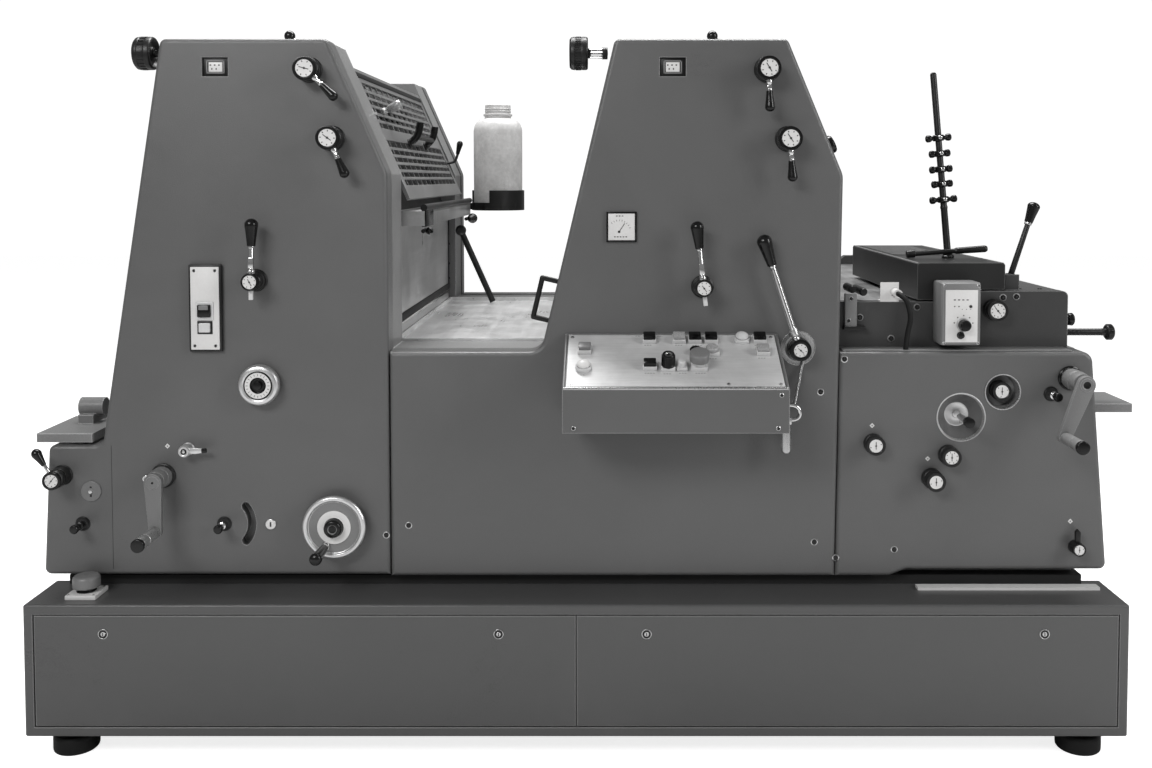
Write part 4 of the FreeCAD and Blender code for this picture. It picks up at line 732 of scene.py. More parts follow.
def knob_with_face(piece, place, radius, length, face, finish_name="satin_black", ticks=10, needle=35.0,
        groove=True):
    """A round knob with a stepped foot and a sunk white face."""
    waist = [(length * 0.42, radius), (length * 0.44, radius * 0.93), (length * 0.52, radius * 0.93),
        (length * 0.54, radius * 0.98)] if groove else []
    piece.turned([(0, radius)] + waist + [(length, radius * 0.95), (length, face + 1.2, "gloss_black"),
        (length - 1.0, face, "dial_white")], finish_name, place)
    dial_face(piece, length - 1.0, face, ticks, needle, place)


print("dial faces ready")

# %% [markdown]
# ## Grips
# A grip is thin where it leaves the rod, swells towards its free end and closes in a soft dome. That
# is one smooth profile, so it comes from a formula rather than from a list of measured radii.

# %% Grips
GRIP_STEPS = 12


def grip_steps(start, length, thin, thick, dome=0.22):
    """Steps of a turned grip from its thin end to its domed free end."""
    steps = [(start, 0), (start, thin * 0.8), (start + 1.0, thin)]
    for i in range(1, GRIP_STEPS + 1):
        share = i / GRIP_STEPS
        steps.append((start + length * (1 - dome) * share, thin + (thick - thin) * share ** 1.25))
    for i in range(1, 7):
        angle = i / 6 * math.pi / 2
        reach = start + length * (1 - dome) + length * dome * math.sin(angle)
        steps.append((reach, thick * math.cos(angle) if i < 6 else 0))
    return steps


def ball_steps(radius, middle=0, count=16):
    """Steps of a ball round a spot on the axis."""
    angles = [math.pi * i / count for i in range(1, count)]
    return [(middle - radius, 0), *[(middle - radius * math.cos(a), radius * math.sin(a)) for a in angles],
        (middle + radius, 0)]


# %% [markdown]
# ## Hand levers
# Each lever turns on a black boss. Its hub carries a dial face, a flat chromed rod runs up from the
# hub, and a glossy grip sits on the rod. The three large ones share their making; a white tab under
# the hub points at the scale.

# %% Hand levers
def hand_lever(node, lean, reach, grip_length, thick, hub, depth, face, rod_radius, tail=True, ribbed=False):
    piece = Piece(node + "_shaped", hub_place(node, lean), "black_plastic")
    piece.turned([(0, hub - 1.5), (2.5, hub), (depth * 0.5, hub), (depth * 0.54, hub - 1.4),
        (depth * 0.62, hub - 1.4), (depth * 0.66, hub - 0.2), (depth, hub - 1.6), (depth, face + 1),
        (depth - 0.9, face, "dial_white")], "gloss_black")
    dial_face(piece, depth - 0.9, face, 8, 150)
    middle = (0, -depth / 2, 0)
    foot = hub - 3
    start = reach - grip_length
    piece.turned([(foot, rod_radius * 1.55), (foot + 7, rod_radius * 1.45), (foot + 11, rod_radius),
        (start + 3, rod_radius)], "chrome", middle, UP, sides=28)
    if ribbed:
        piece.ring(10, rod_radius, (1.6, 1.2, start - foot - 34), "chrome",
            offset(0, middle[1], (foot + start) / 2 + 8))
        piece.turned([(foot + 10, rod_radius * 1.7), (foot + 26, rod_radius * 1.5)], "spun_metal", middle, UP)
    else:
        piece.block((-rod_radius * 1.02, middle[1] - rod_radius * 1.04, foot + 12),
            (rod_radius * 1.02, middle[1] + rod_radius * 0.2, foot + 34), "chrome", 0.8)
    piece.turned([(start - 4, rod_radius * 1.3), (start + 1, rod_radius * 1.3)], "chrome", middle, UP,
        sides=28)
    piece.turned(grip_steps(start, grip_length, thick * 0.62, thick), "gloss_black", middle, UP, edge=0.3)
    if tail:
        piece.block((-4.5, middle[1] - 3, -38), (4.5, middle[1] + 3, -hub + 2), "lens_pale", 1.2)
    piece.done(node, [node])


hand_lever("impression_lever", 1.0, 132, 58, 14.0, 19.5, 27, 14.5, 5.2)
hand_lever("water_lever", -6.4, 140, 58, 14.0, 19.5, 27, 14.5, 5.2)
hand_lever("main_lever", -18.4, 254, 68, 16.0, 24, 30, 14.5, 5.6, tail=False, ribbed=True)
for name, lean in (("dial_lever_one", 135), ("dial_lever_two", 156), ("dial_lever_three", 178),
        ("dial_lever_four", 176)):
    hand_lever(name, lean, 90, 44, 10.5, 26, 24, 18.5, 4.4, tail=False)


def ball_lever():
    """Small lever with an egg-shaped grip at the delivery end."""
    piece = Piece("ball_lever_shaped", hub_place("ball_lever", -33), "black_plastic")
    piece.turned([(0, 18), (6, 20), (14, 20), (15, 18.5, "chrome"), (19, 18.5), (20, 20, "gloss_black"),
        (27, 19), (27, 15), (26, 14, "dial_white")], "satin_black")
    dial_face(piece, 26, 14, 8, 70)
    piece.turned([(16, 4.2), (44, 3.4)], "chrome", (0, -13, 0), UP, sides=24)
    piece.turned(grip_steps(36, 40, 5.0, 10.5, 0.3), "gloss_black", (0, -13, 0), UP, edge=0.3)
    piece.done("ball_lever", ["ball_lever"])


def tap_lever():
    """Silver tap handle: a round hub and a flat blade that ends in a dark tip."""
    piece = Piece("tap_lever_shaped", hub_place("tap_lever", 88), "steel")
    piece.turned([(0, 12), (3, 13), (9, 13), (10, 11.5), (14, 11), (14, 8), (13.2, 7, "gloss_black"),
        (13.2, 4), (14, 3.4, "spun_metal"), (15, 0)], "spun_metal")
    piece.plate([(-5, 8), (5, 8), (6.5, 22), (4.5, 38), (-4.5, 38), (-6.5, 22)], 5, "spun_metal",
        offset(0, -5, 0), 1.2)
    piece.block((-4.8, -11, 36), (4.8, -4, 47), "gloss_black", 2.0)
    piece.done("tap_lever", ["tap_lever"])


def feeder_lever():
    """Long black lever beside the suction head."""
    piece = Piece("feeder_lever_shaped", hub_place("feeder_lever", 17.8), "black_plastic")
    piece.turned([(0, 15), (20, 15), (20, 6), (18, 6)], "satin_black")
    piece.turned([(6, 6.6), (136, 5.8)], "satin_black", (0, -10, 0), UP, sides=28)
    piece.turned([(128, 8), (134, 8)], "ground_steel", (0, -10, 0), UP, sides=28)
    piece.turned(grip_steps(133, 47, 9.0, 13.5, 0.2), "gloss_black", (0, -10, 0), UP, edge=0.3)
    piece.done("feeder_lever", ["feeder_lever"])


ball_lever()
tap_lever()
feeder_lever()

# %% [markdown]
# ## Cranks
# A crank's arm is a flat casting that tapers from the hub to the grip. Its outline is two round ends
# joined by straight sides, worked out from the two radii. The grip turns on its own pin, so it shows
# a collar, a groove and a dark end cap.

# %% Cranks
def arm_outline(reach, hub, end, steps=18):
    """Outline of a tapered arm that hangs from a round hub."""
    lean = math.asin((hub - end) / reach)
    points = []
    for centre, radius, first, last in ((0.0, hub, -lean, math.pi + lean), (-reach, end, math.pi + lean,
            math.tau - lean)):
        for i in range(steps + 1):
            angle = first + (last - first) * i / steps
            points.append((radius * math.cos(angle), centre + radius * math.sin(angle)))
    return points[::-1]


def hand_crank(node, lean, reach, arm_finish, grip_finish, cap):
    piece = Piece(node + "_shaped", hub_place(node, lean), "grey_plastic")
    piece.plate(arm_outline(reach, 18.5, 13), 12, arm_finish, None, 1.6)
    piece.turned([(11.5, 13.5), (13.4, 13.5), (13.4, cap), (12.4, cap - 1, "gloss_black")], arm_finish,
        (0, 0, 0), edge=0.4)
    grip = (0, -12, -reach)
    piece.turned([(-0.5, 10), (3, 10), (3, 12.2, grip_finish), (52, 12.8), (52.6, 11.9), (54, 11.9),
        (54.6, 12.9), (82, 13.4), (82, 12.4, "gloss_black"), (83.5, 12.4), (83.5, 13.8), (90.5, 13.8),
        (92, 12.4)], "spun_metal", grip, edge=0.7)
    piece.done(node, [node])


hand_crank("delivery_crank", -2, 104, "crank_grey", "spun_metal", 4)
hand_crank("feeder_crank", 21.5, 117, "crank_grey", "cap_grey", 9)

# %% [markdown]
# ## Wheels
# The handwheel is spun metal with a bright rim, a grey disc, a white ring and a dark hub; its grip stands
# out towards the operator. The smaller side wheel carries a white scale ring. The two ink wheels
# hang on the towers' left edges and have coarse ribs for the fingers.

# %% Wheels
def handwheel():
    piece = Piece("handwheel_shaped", hub_place("handwheel"), "steel")
    piece.turned([(0, 28), (9, 58), (15, 66.5), (22, 67), (25.5, 63), (25, 57), (21, 55, "cap_grey"),
        (20, 37), (21.5, 36, "dial_white"), (21.5, 22), (22, 21, "gloss_black"), (34, 19), (38, 16),
        (39, 10.5, "crank_grey"), (36, 9.5, "gloss_black")], "spun_metal", edge=1.2, sides=72)
    turn = math.radians(204)
    grip = (44 * math.sin(turn), -20, 44 * math.cos(turn))
    piece.turned([(0, 10), (6, 9), (8, 7.5), (16, 7.5)], "chrome", grip, sides=32)
    piece.turned(grip_steps(15, 79, 8.5, 13, 0.12), "gloss_black", grip, edge=0.3)
    piece.done("handwheel", ["handwheel"])


def side_wheel():
    piece = Piece("side_wheel_shaped", hub_place("side_wheel"), "steel")
    piece.turned([(0, 40), (4, 43), (16, 43), (20, 40), (22, 34), (20, 31.5, "gloss_black"), (20, 29),
        (21.5, 28, "dial_white"), (21.5, 17.5), (20.5, 17, "gloss_black"), (17, 15), (17, 9), (24, 8)],
        "spun_metal", edge=0.8, sides=64)
    piece.ring(20, 23, (4.5, 0.9, 0.4), "print_black", offset(0, -21.6, 0) @ FACE_ON)
    piece.ring(36, 42.4, (1.6, 1.8, 10.0), "spun_metal", offset(0, -10, 0) @ FACE_ON)
    piece.done("side_wheel", ["side_wheel"])


def ink_wheel(node, ribs):
    """Wheel on the tower's edge, its axis along the press, dished towards the machine."""
    spot = Vector((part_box(node)[1].x, PIVOTS[node].y, PIVOTS[node].z))
    where = drawn_at(spot)
    piece = Piece(node + "_shaped", where, "black_plastic")
    piece.turned([(2, 14), (8, 16), (8, 26), (0, 30), (0, 34), (3, 36.3), (12, 36.6), (14, 35.6), (27, 35.6),
        (29, 36.6), (36, 35.5), (40, 31), (40, 22), (37, 20, "spun_metal"), (37, 12), (40, 10, "chrome")],
        "satin_black", along=-ALONG, edge=0.9, sides=56)
    piece.ring(ribs, 35.6, (2.6, 2.4, 12.0), "satin_black", offset(-20.5, 0, 0) @ Matrix.Rotation(math.pi / 2,
        4, "Y"))
    piece.done(node, [node])


handwheel()
side_wheel()
ink_wheel("ink_wheel_one", 24)
ink_wheel("ink_wheel_two", 40)

# %% [markdown]
# ## Bosses behind the controls
# Every lever and crank turns on a boss that stands on the cover. They are turned parts too, with a
# bright ring here and there, and the one behind the long lever has a thin engraved ring round it.

# %% Bosses behind the controls
def control_bosses():
    piece = Piece("control_bosses_shaped", RULER, "black_plastic")
    for node in ("impression_lever", "water_lever", "dial_lever_one", "dial_lever_two", "dial_lever_three",
            "dial_lever_four"):
        spot = on_ruler(node)
        wide = 25.0 if node.startswith("dial") else 22.0
        piece.turned([(0, wide + 2), (3, wide + 2), (4, wide), (16, wide), (17, wide - 2.5),
            (23.7, wide - 2.5)], "satin_black", (spot.x, FACE, spot.z))
    spot = on_ruler("main_lever")
    piece.turned([(0, 37), (0.9, 37), (0.9, 35.6), (0.4, 35.2), (0.4, 28, "cover_enamel"), (0.4, 25),
        (1, 24, "satin_black"), (11.7, 22)], "ground_steel", (spot.x, FACE, spot.z), edge=0.2, sides=56)
    for node, length, dark in (("delivery_crank", 50, "satin_black"), ("feeder_crank", 70, "gloss_black")):
        spot = on_ruler(node)
        piece.turned([(0, 26, dark), (5, 26), (6, 23.5), (9, 23.5), (10, 22, "crank_grey"),
            (length * 0.55, 22), (length * 0.57, 20.5), (length * 0.63, 20.5), (length * 0.65, 21.5),
            (length, 20)], dark, (spot.x, FACE, spot.z))
    spot = on_ruler("delivery_crank")
    piece.turned([(0, 7), (14, 7), (14, 4), (13, 3, "satin_black")], "chrome",
        (spot.x - 21, FACE - 30, spot.z + 4), sides=24)
    spot = on_ruler("feeder_crank")
    piece.turned([(70, 12), (76, 12)], "spun_metal", (spot.x, FACE, spot.z))
    for node, radius, length in (("handwheel", 40, 5.7), ("side_wheel", 22, 5.7), ("ball_lever", 20, 25.7),
            ("tap_lever", 12, 13.7)):
        spot = on_ruler(node)
        piece.turned([(0, radius + 2), (2, radius + 2), (3, radius), (length, radius)], "spun_metal"
            if node == "tap_lever" else "satin_black", (spot.x, FACE, spot.z))
    for node in ("ink_wheel_one", "ink_wheel_two"):
        spot = on_ruler(node)
        end = (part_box(node)[1].x - BASE_MIDDLE.x) / MM + 0.4
        piece.turned([(0, 11), (30, 11), (31, 13, "satin_black"), (43, 13), (44, 0)], "chrome",
            (end, spot.y, spot.z), ALONG, sides=32)
    piece.done(ROOT, ["control_bosses"])


control_bosses()

# %% [markdown]
# ## Adjusters on the covers
# The feeder's cover carries three scale knobs, a bright dish with a spindle, a dark cup with a
# fourth knob, a plunger and a pointer; the delivery cover has two plungers, a blank disc and a key
# disc. Small white ring and diamond marks stand over some of them.

# %% Adjusters on the covers
SCALE_KNOBS = [(630, 646, 27), (789, 622, 31), (754, 572, 40)]
PLUNGERS = [(-1055, 473), (-753, 473), (1006, 752)]
DIAMONDS = [(627, 684), (746, 613), (1052, 478), (-872, 640)]
DISH, CUP = (816, 702), (904, 756)
POINTER, TABLE_KNOB = (1062, 424), (902, 925)
BLANK_DISC, KEY_DISC = (-1036, 543), (-654, 472)
TOWER_TOP = (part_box("cover_printing")[1].z) / MM
FRAME_MIDDLE = (sum(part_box("side_frame_operator")[i].y for i in (0, 1)) / 2 - BASE_MIDDLE.y) / MM


def adjusters():
    piece = Piece("adjusters_shaped", RULER, "black_plastic")
    for (x, z, length), ticks in zip(SCALE_KNOBS, (2, 8, 2)):
        knob_with_face(piece, (x, FACE, z), 21.5, length, 14.5, ticks=ticks, needle=0)
    knob_with_face(piece, (TABLE_KNOB[0], FRAME_FACE, TABLE_KNOB[1]), 23.5, 30, 16.5, ticks=10, needle=-40)
    knob_with_face(piece, (CUP[0], FACE + 31.5, CUP[1]), 21, 29, 14.5, ticks=3, needle=0)
    piece.turned([(0, 37.4), (31.8, 37.6), (32.6, 38.6, "spun_metal"), (33.2, 38.6), (33.2, 36.6),
        (30, 35, "crank_grey"), (2.5, 33), (1.5, 0)], "satin_black", (CUP[0], FACE + 32, CUP[1]), sides=56)
    piece.turned([(0, 51.4), (40, 51.6), (40.8, 52.4), (41.2, 52), (41, 50), (24, 44), (9, 36), (5, 28),
        (5.6, 24), (4.4, 20), (4.4, 9), (7, 8)], "spun_metal", (DISH[0], FACE + 40, DISH[1]), sides=72,
        edge=1.0)
    piece.turned([(30, 6.5), (84, 6), (85, 10.5, "gloss_black"), (101, 11), (102, 0)], "ground_steel",
        (DISH[0], FACE + 40, DISH[1]), sides=32)
    # The dark ring sunk round each plunger's stem is painted shade in its recess.
    for x, z in PLUNGERS:
        piece.turned([(0, 15), (1, 16), (2, 15), (2, 12.5, "painted_shade_black"), (1.2, 11.5), (1.2, 6.5),
            (4, 6, "chrome" if x > -1000 else "satin_black"), (14, 6), (15, 8.5), (19, 8.5), (20, 5.5),
            (30, 5.5), (31, 8.4, "gloss_black"), (43, 9.6), (46, 7.5)], "satin_black", (x, FACE, z),
            sides=32)
    x, z = BLANK_DISC
    piece.turned([(0, 22), (1.6, 22), (2.6, 20.5)], "crank_grey", (x, FACE, z), sides=48)
    piece.turned([(2.4, 5), (6, 4)], "spun_metal", (x, FACE, z), sides=20)
    # The two slots in the blank disc are near-black blocks: painted shade.
    for dz, high in ((9, 4), (-9, 6)):
        piece.block((x - 2.4, FACE - 3, z + dz - high / 2), (x + 2.4, FACE - 2.4, z + dz + high / 2),
            "painted_shade_black", 0.2)
    x, z = KEY_DISC
    piece.turned([(0, 11.5), (2, 11.5), (3, 10.5, "dial_white")], "spun_metal", (x, FACE, z), sides=36)
    piece.block((x - 1.6, FACE - 3.5, z - 5), (x + 1.6, FACE - 2.9, z + 5), "print_black", 0.2)
    x, z = POINTER
    knob_with_face(piece, (x, FACE, z), 14.5, 28, 11, ticks=3, needle=0, groove=False)
    piece.plate([(x - 5, z + 10), (x + 5, z + 10), (x + 5.5, z + 36), (x, z + 42), (x - 5.5, z + 36)], 10,
        "satin_black", offset(0, FACE - 10, 0), 1.6)
    for x, z in DIAMONDS:
        piece.turned([(0, 5.5), (0.4, 5.5), (0.4, 2.6), (0.3, 2.2, "cover_enamel")], "dial_white",
            (x, FACE, z), sides=4, edge=0.05)
    for x in (-635, 295):
        top = Vector((x, FRAME_MIDDLE, TOWER_TOP + 20))
        foot = Vector((x + 26, FRAME_MIDDLE, TOWER_TOP - 3))
        piece.turned([(0, 5), ((top - foot).length, 4)], "chrome", foot, top - foot, sides=24)
        piece.turned(ball_steps(12), "gloss_black", top, top - foot, sides=32, edge=0)
    piece.done(ROOT, ["adjusters"])


adjusters()

# %% [markdown]
# ## The control desk
# The desk's top is a bright plate, screwed down at its corners and scored by years of use. Buttons
# stand on it in pale square bezels; one is a mushroom for stopping in a hurry and one is a ribbed
# knob. They are drawn in the desk's own slope, where up is up out of the plate.

# %% The control desk
desk_low, desk_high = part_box("console")
plate_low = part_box("console_plate")[0]
DESK_DEPTH = (desk_high.y - desk_low.y) / MM
DESK_SLOPE = math.atan2((desk_high.z - plate_low.z) / MM + 3.5, DESK_DEPTH)
DESK = offset(desk_low.x, desk_low.y, desk_high.z - DESK_DEPTH * MM
    * math.tan(DESK_SLOPE)) @ Matrix.Rotation(DESK_SLOPE, 4, "X") @ Matrix.Scale(MM, 4)
SQUARE_BUTTONS = [(42, 129, "cap_grey"), (177, 167, "gloss_black"), (239, 167, "lens_grey"),
    (272, 167, "gloss_black"), (306, 167, "gloss_black"), (408, 167, "gloss_black"), (410, 123, "lens_grey"),
    (175, 72, "gloss_black")]


def console_buttons():
    piece = Piece("console_buttons_shaped", DESK, "light_plate")
    for x, y, cap in SQUARE_BUTTONS:
        piece.block((x - 14, y - 12, 1.8), (x + 14, y + 12, 11), "lens_pale", 1.0)
        piece.block((x - 12.6, y - 10.6, 10.5), (x + 12.6, y + 10.6, 19), cap, 1.8)
    for x, y, cap in ((41, 68, "dial_white"), (371, 169, "lens_pale")):
        piece.turned([(1.8, 16.5), (9, 16.5), (10, 14.5, "chrome"), (12, 14.5)]
            + [(12 + 9 * math.sin(a), 14 * math.cos(a), cap) for a in (0.1, 0.5, 0.9, 1.2, 1.4)]
            + [(21.1, 0)], "lens_pale", (x, y, 0), UP)
    piece.block((357, 155, 1.8), (385, 180, 8), "lens_pale", 1.0)
    piece.block((198, 56, 1.8), (226, 84, 10), "lens_pale", 1.0)
    piece.turned([(9, 14), (14, 14), (15, 13), (34, 13), (37, 11.5), (37, 9), (36, 8, "chrome"), (36, 5.5),
        (35, 5, "gloss_black")], "gloss_black", (212, 70, 0), UP)
    piece.ring(22, 13.2, (1.4, 1.6, 17.0), "gloss_black", offset(212, 70, 24.5))
    piece.block((229, 58, 1.8), (251, 82, 9), "lens_pale", 1.0)
    piece.turned([(8, 9.5), (20, 9.5), (22, 8)], "lens_pale", (240, 70, 0), UP)
    piece.block((258, 58, 1.8), (291, 90, 10), "lens_pale", 1.0)
    piece.turned([(9, 13), (18, 13), (19, 20, "cap_grey"), (36, 20.5), (38.5, 18), (39, 0)], "lens_pale",
        (275, 74, 0), UP, edge=1.2, sides=48)
    piece.turned([(1.8, 13), (10, 13), (12, 11)], "gloss_black", (272, 124, 0), UP)
    piece.block((290, 109, 1.8), (320, 135, 10), "lens_pale", 1.0)
    piece.turned([(9.5, 13), (17, 13), (19, 11)], "lens_grey", (305, 122, 0), UP)
    for count, x, y in ((3, 168, 150), (3, 232, 150), (4, 268, 150), (3, 398, 150), (3, 300, 102),
            (3, 400, 104), (4, 166, 52), (3, 204, 50), (3, 235, 52), (4, 268, 52), (2, 36, 46),
            (2, 150, 184), (3, 190, 184)):
        piece.row(count, (x, y, 2.05), (5.5, 0, 0), (3.6, 1.6, 0.2), "cap_grey")
    # Their sockets use print black as painted shade for the recess.
    piece.screws([(x, y, 2.0) for x in (16, 433) for y in (16, 180)] + [(330, 16, 2.0)], 4.2, 1.4,
        "ground_steel", facing=(0, 0, 0), socket="print_black")
    piece.done(ROOT, ["console_buttons"])


def console_trim():
    """Rounded rim of folded sheet round the desk's top, and the screws on its front."""
    piece = Piece("console_trim", DESK, "cover_paint")
    width = (desk_high.x - desk_low.x) / MM
    reach = DESK_DEPTH / math.cos(DESK_SLOPE)
    piece.bar([(2, 3, 0.6), (width - 2, 3, 0.6)], 3.0, "ground_steel")
    for x in (2.8, width - 2.8):
        piece.bar([(x, 2, 0.4), (x, reach - 6, 0.4)], 2.8, "crank_grey")
    piece.bar([(2, reach - 4.5, 0.4), (width - 2, reach - 4.5, 0.4)], 2.8, "crank_grey")
    front = Piece("console_screws", drawn_at(desk_low), "dark_metal")
    front.screws([(x, -0.1, 10) for x in (22, width - 22)] + [(width - 16, -0.1, 76)], 4.6, 1.6,
        "satin_black")
    piece.done()
    front.done()


console_buttons()
console_trim()

# %% [markdown]
# ## Boxes and meters
# The switch box on the first tower is a black tray with a white plate, a dark rocker in a pale bezel
# and a white rocker below it. The meter on the second tower has a thin frame round a white face. The
# feeder's control box is a cast case with a printed plate, one knob and one button.

# %% Boxes and meters
def switch_box():
    low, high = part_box("switch_box")
    piece = Piece("switch_box_shaped", drawn_at((low.x, COVER_FACE, low.z)), "light_plate")
    wide, tall = ((high.x - low.x) / MM, (high.z - low.z) / MM)
    piece.block((0, -9, 0), (wide, 0, tall), "satin_black", 2.5)
    piece.block((5, -12, 5), (wide - 5, -8, tall - 5), "dial_white", 1.0)
    middle = wide / 2
    piece.block((middle - 19, -15, 68), (middle + 19, -11, 106), "lens_pale", 1.4)
    piece.block((middle - 14, -21, 74), (middle + 14, -14, 101), "gloss_black", 2.2)
    piece.block((middle - 10, -23, 90), (middle + 10, -20, 99), "cap_grey", 1.0)
    piece.block((middle - 16, -13.5, 38), (middle + 16, -11, 66), "satin_black", 1.0)
    piece.block((middle - 12, -19, 42), (middle + 12, -12, 62), "lens_pale", 2.0)
    piece.screws([(x, -12, z) for x in (13, wide - 13) for z in (13, tall - 13)], 3.6, 1.4, "satin_black")
    piece.done(ROOT, ["switch_box"])


def gauge():
    low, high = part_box("gauge")
    piece = Piece("gauge_shaped", drawn_at((low.x, COVER_FACE, low.z)), "light_plate")
    size = (high.x - low.x) / MM
    piece.block((0, -3.4, 0), (size, 0, size), "satin_black", 0.8)
    piece.border((0, -5, 0), (size, 0, size), 4, "gloss_black", 1.0)
    piece.block((4, -4.0, 4), (size - 4, -3, size - 4), "dial_white", 0.2)
    scale = offset(size * 0.42, -4.1, size * 0.34) @ FACE_ON
    piece.add(grow(RING, Count=9, Radius=24, Size=(3.4, 0.8, 0.2), Start=0.35, Step=0.24,
        Finish="print_black"), scale)
    piece.turned([(4, 2.6), (4.8, 2.6)], "print_black", (size * 0.42, 0, size * 0.34), sides=20, edge=0.1)
    piece.block((-0.6, -4.5, 0), (0.6, -4.1, 21), "print_black", 0.05, offset(size * 0.42, 0, size * 0.34)
        @ Matrix.Rotation(math.radians(34), 4, "Y"))
    for count, x, z in ((3, 22, size - 9), (5, 18, 11)):
        piece.row(count, (x, -4.1, z), (6, 0, 0), (3.6, 0.2, 2.0))
    piece.done(ROOT, ["gauge"])


def control_box():
    low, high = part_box("control_box")
    piece = Piece("control_box_shaped", drawn_at(low), "black_plastic")
    wide, deep, tall = ((high[i] - low[i]) / MM for i in range(3))
    front = 20.0
    piece.block((0, front + 3, 0), (wide, deep, tall), "crank_grey", 6.0)
    piece.block((2, front, 2), (wide - 2, front + 10, tall - 2), "cap_grey", 4.0)
    piece.block((9, front - 2, 8), (wide - 9, front + 2, tall - 16), "dial_white", 0.6)
    piece.screws([(x, front, z) for x in (7, wide - 7) for z in (6, tall - 7)], 3.6, 1.4, "ground_steel")
    piece.turned([(0, 15), (2, 15), (3, 12.5, "gloss_black"), (18, 11.5), (20, 10)], "lens_grey",
        (47, front - 2, 45))
    piece.turned([(0, 8), (2, 8), (2, 7), (8, 6.5), (9, 0)], "gloss_black", (41, front - 2, 23))
    piece.add(grow(RING, Count=5, Radius=20, Size=(2.4, 2.4, 0.3), Start=0.2, Step=0.68,
        Finish="print_black"), offset(47, front - 2.1, 45) @ FACE_ON)
    for count, x, z, size in ((2, 28, 84, (2.6, 0.3, 2.6)), (3, 44, 78, (1.4, 0.3, 1.4)),
            (4, 28, 98, (4.5, 0.3, 2.2))):
        piece.row(count, (x, front - 2.1, z), (9, 0, 0), size)
    piece.turned([(0, 3.4), (1, 3)], "print_black", (62, front - 2, 84), sides=20, edge=0.2)
    piece.done(ROOT, ["control_box"])


switch_box()
gauge()
control_box()

# %% [markdown]
# ## The stop button on the base
# A grey mushroom cap on a short stem over a white plate, low down at the delivery end.

# %% The stop button on the base
def emergency_stop():
    low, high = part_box("emergency_stop")
    middle = (low + high) / 2
    piece = Piece("emergency_stop_shaped", drawn_at((middle.x, middle.y, low.z)), "grey_plastic")
    half = (high.x - low.x) / MM / 2
    piece.block((-half, -half, 0), (half, half, 9.5), "dial_white", 1.4)
    piece.turned([(9, 20), (12, 20), (13, 16), (18, 16), (18, 26, "cap_grey"), (20, 28), (38, 27.4),
        (42.5, 24.5), (44, 17)], "satin_black", along=UP, edge=1.4, sides=56)
    piece.screws([(x, y, 9.5) for x in (-26, 26) for y in (-26, 26)], 2.8, 1.0, "ground_steel",
        facing=(0, 0, 0))
    piece.done(ROOT, ["emergency_stop"])


emergency_stop()

# %% [markdown]
# ## Small things on the covers
# The covers are held by socket screws in bright washers, and each tower has a little window with a
# white card behind it. The base panels close with quarter-turn locks. Points say where the screws
# go, and the screw tree puts one on each.

# %% Small things on the covers
COVER_SCREWS = [(-408, 448), (-360, 469), (506, 433), (517, 756), (567, 826), (677, 417), (552, 399)]
LOCKS = (-975, -160, 145, 965)
LOCK_HEIGHT = 271
PANEL_FACE = (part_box("base_panels")[0].y - BASE_MIDDLE.y) / MM
WINDOWS, WINDOW_LOW = (-787, 174), 1423


def cover_details():
    piece = Piece("cover_details", RULER, "dark_metal")
    for side, facing in ((1, TO_FRONT), (-1, TO_DRIVE)):
        piece.screws([(x, FACE * side, z) for x, z in COVER_SCREWS], 7.5, 1.6, facing=facing)
        panel = PANEL_FACE * side - (1.6 if side < 0 else 0)
        for x in LOCKS:
            piece.turned([(-0.5, 10.5), (1.2, 10.5), (1.6, 9, "satin_black"), (1.0, 8.4),
                (1.0, 5.2, "ground_steel"), (2.0, 4.6)], "ground_steel", (x, panel, LOCK_HEIGHT),
                FRONT * side, sides=28, edge=0.3)
            # The slot across each lock's head is a near-black block: painted shade.
            piece.block((x - 0.9, panel - 2.4, LOCK_HEIGHT - 3.4), (x + 0.9, panel + 2.4, LOCK_HEIGHT + 3.4),
                "painted_shade_black", 0.1)
    for left in WINDOWS:
        low, high = (WINDOW_LOW, WINDOW_LOW + 40)
        piece.block((left + 0.5, FACE + 5.6, low + 0.5), (left + 54.5, FACE + 6.8, high - 0.5), "satin_black",
            0.3)
        piece.border((left + 8, FACE + 2.6, low + 6), (left + 47, FACE + 5.8, high - 6), 3, "cap_grey", 0.6)
        piece.block((left + 13, FACE + 4.2, low + 10), (left + 42, FACE + 5.8, high - 10), "dial_white", 0.3)
        for count, dx, dz, size in ((3, 17, 24, (3.4, 0.4, 2.6)), (2, 20, 16, (2.4, 0.4, 3.6))):
            piece.row(count, (left + dx, FACE + 4.1, low + dz), (9, 0, 0), size)
    piece.block((-992.3, FACE - 0.25, 375), (-991.3, FACE + 0.5, 641), "print_black", 0.1)
    out = Vector((0.9, 0, 0.42))
    piece.turned([(-16, 9), (10, 9), (12, 17), (15, 20), (34, 20), (38, 17), (40, 0)], "gloss_black",
        (524, FRAME_FACE + 34, 1270), out, sides=36)
    piece.turned([(-16, 8), (4, 8), (6, 13), (9, 15), (22, 15), (25, 12), (26, 0)], "gloss_black",
        (514, FRAME_FACE + 78, 1296), out, sides=32)
    piece.done()


cover_details()

# %% [markdown]
# ## The fluid bottle
# A blow-moulded bottle with rounded shoulders and a ringed neck. The shoulder is a quarter of an
# ellipse, worked out in a loop. Years in its holder have left it scuffed, which its finish shows.

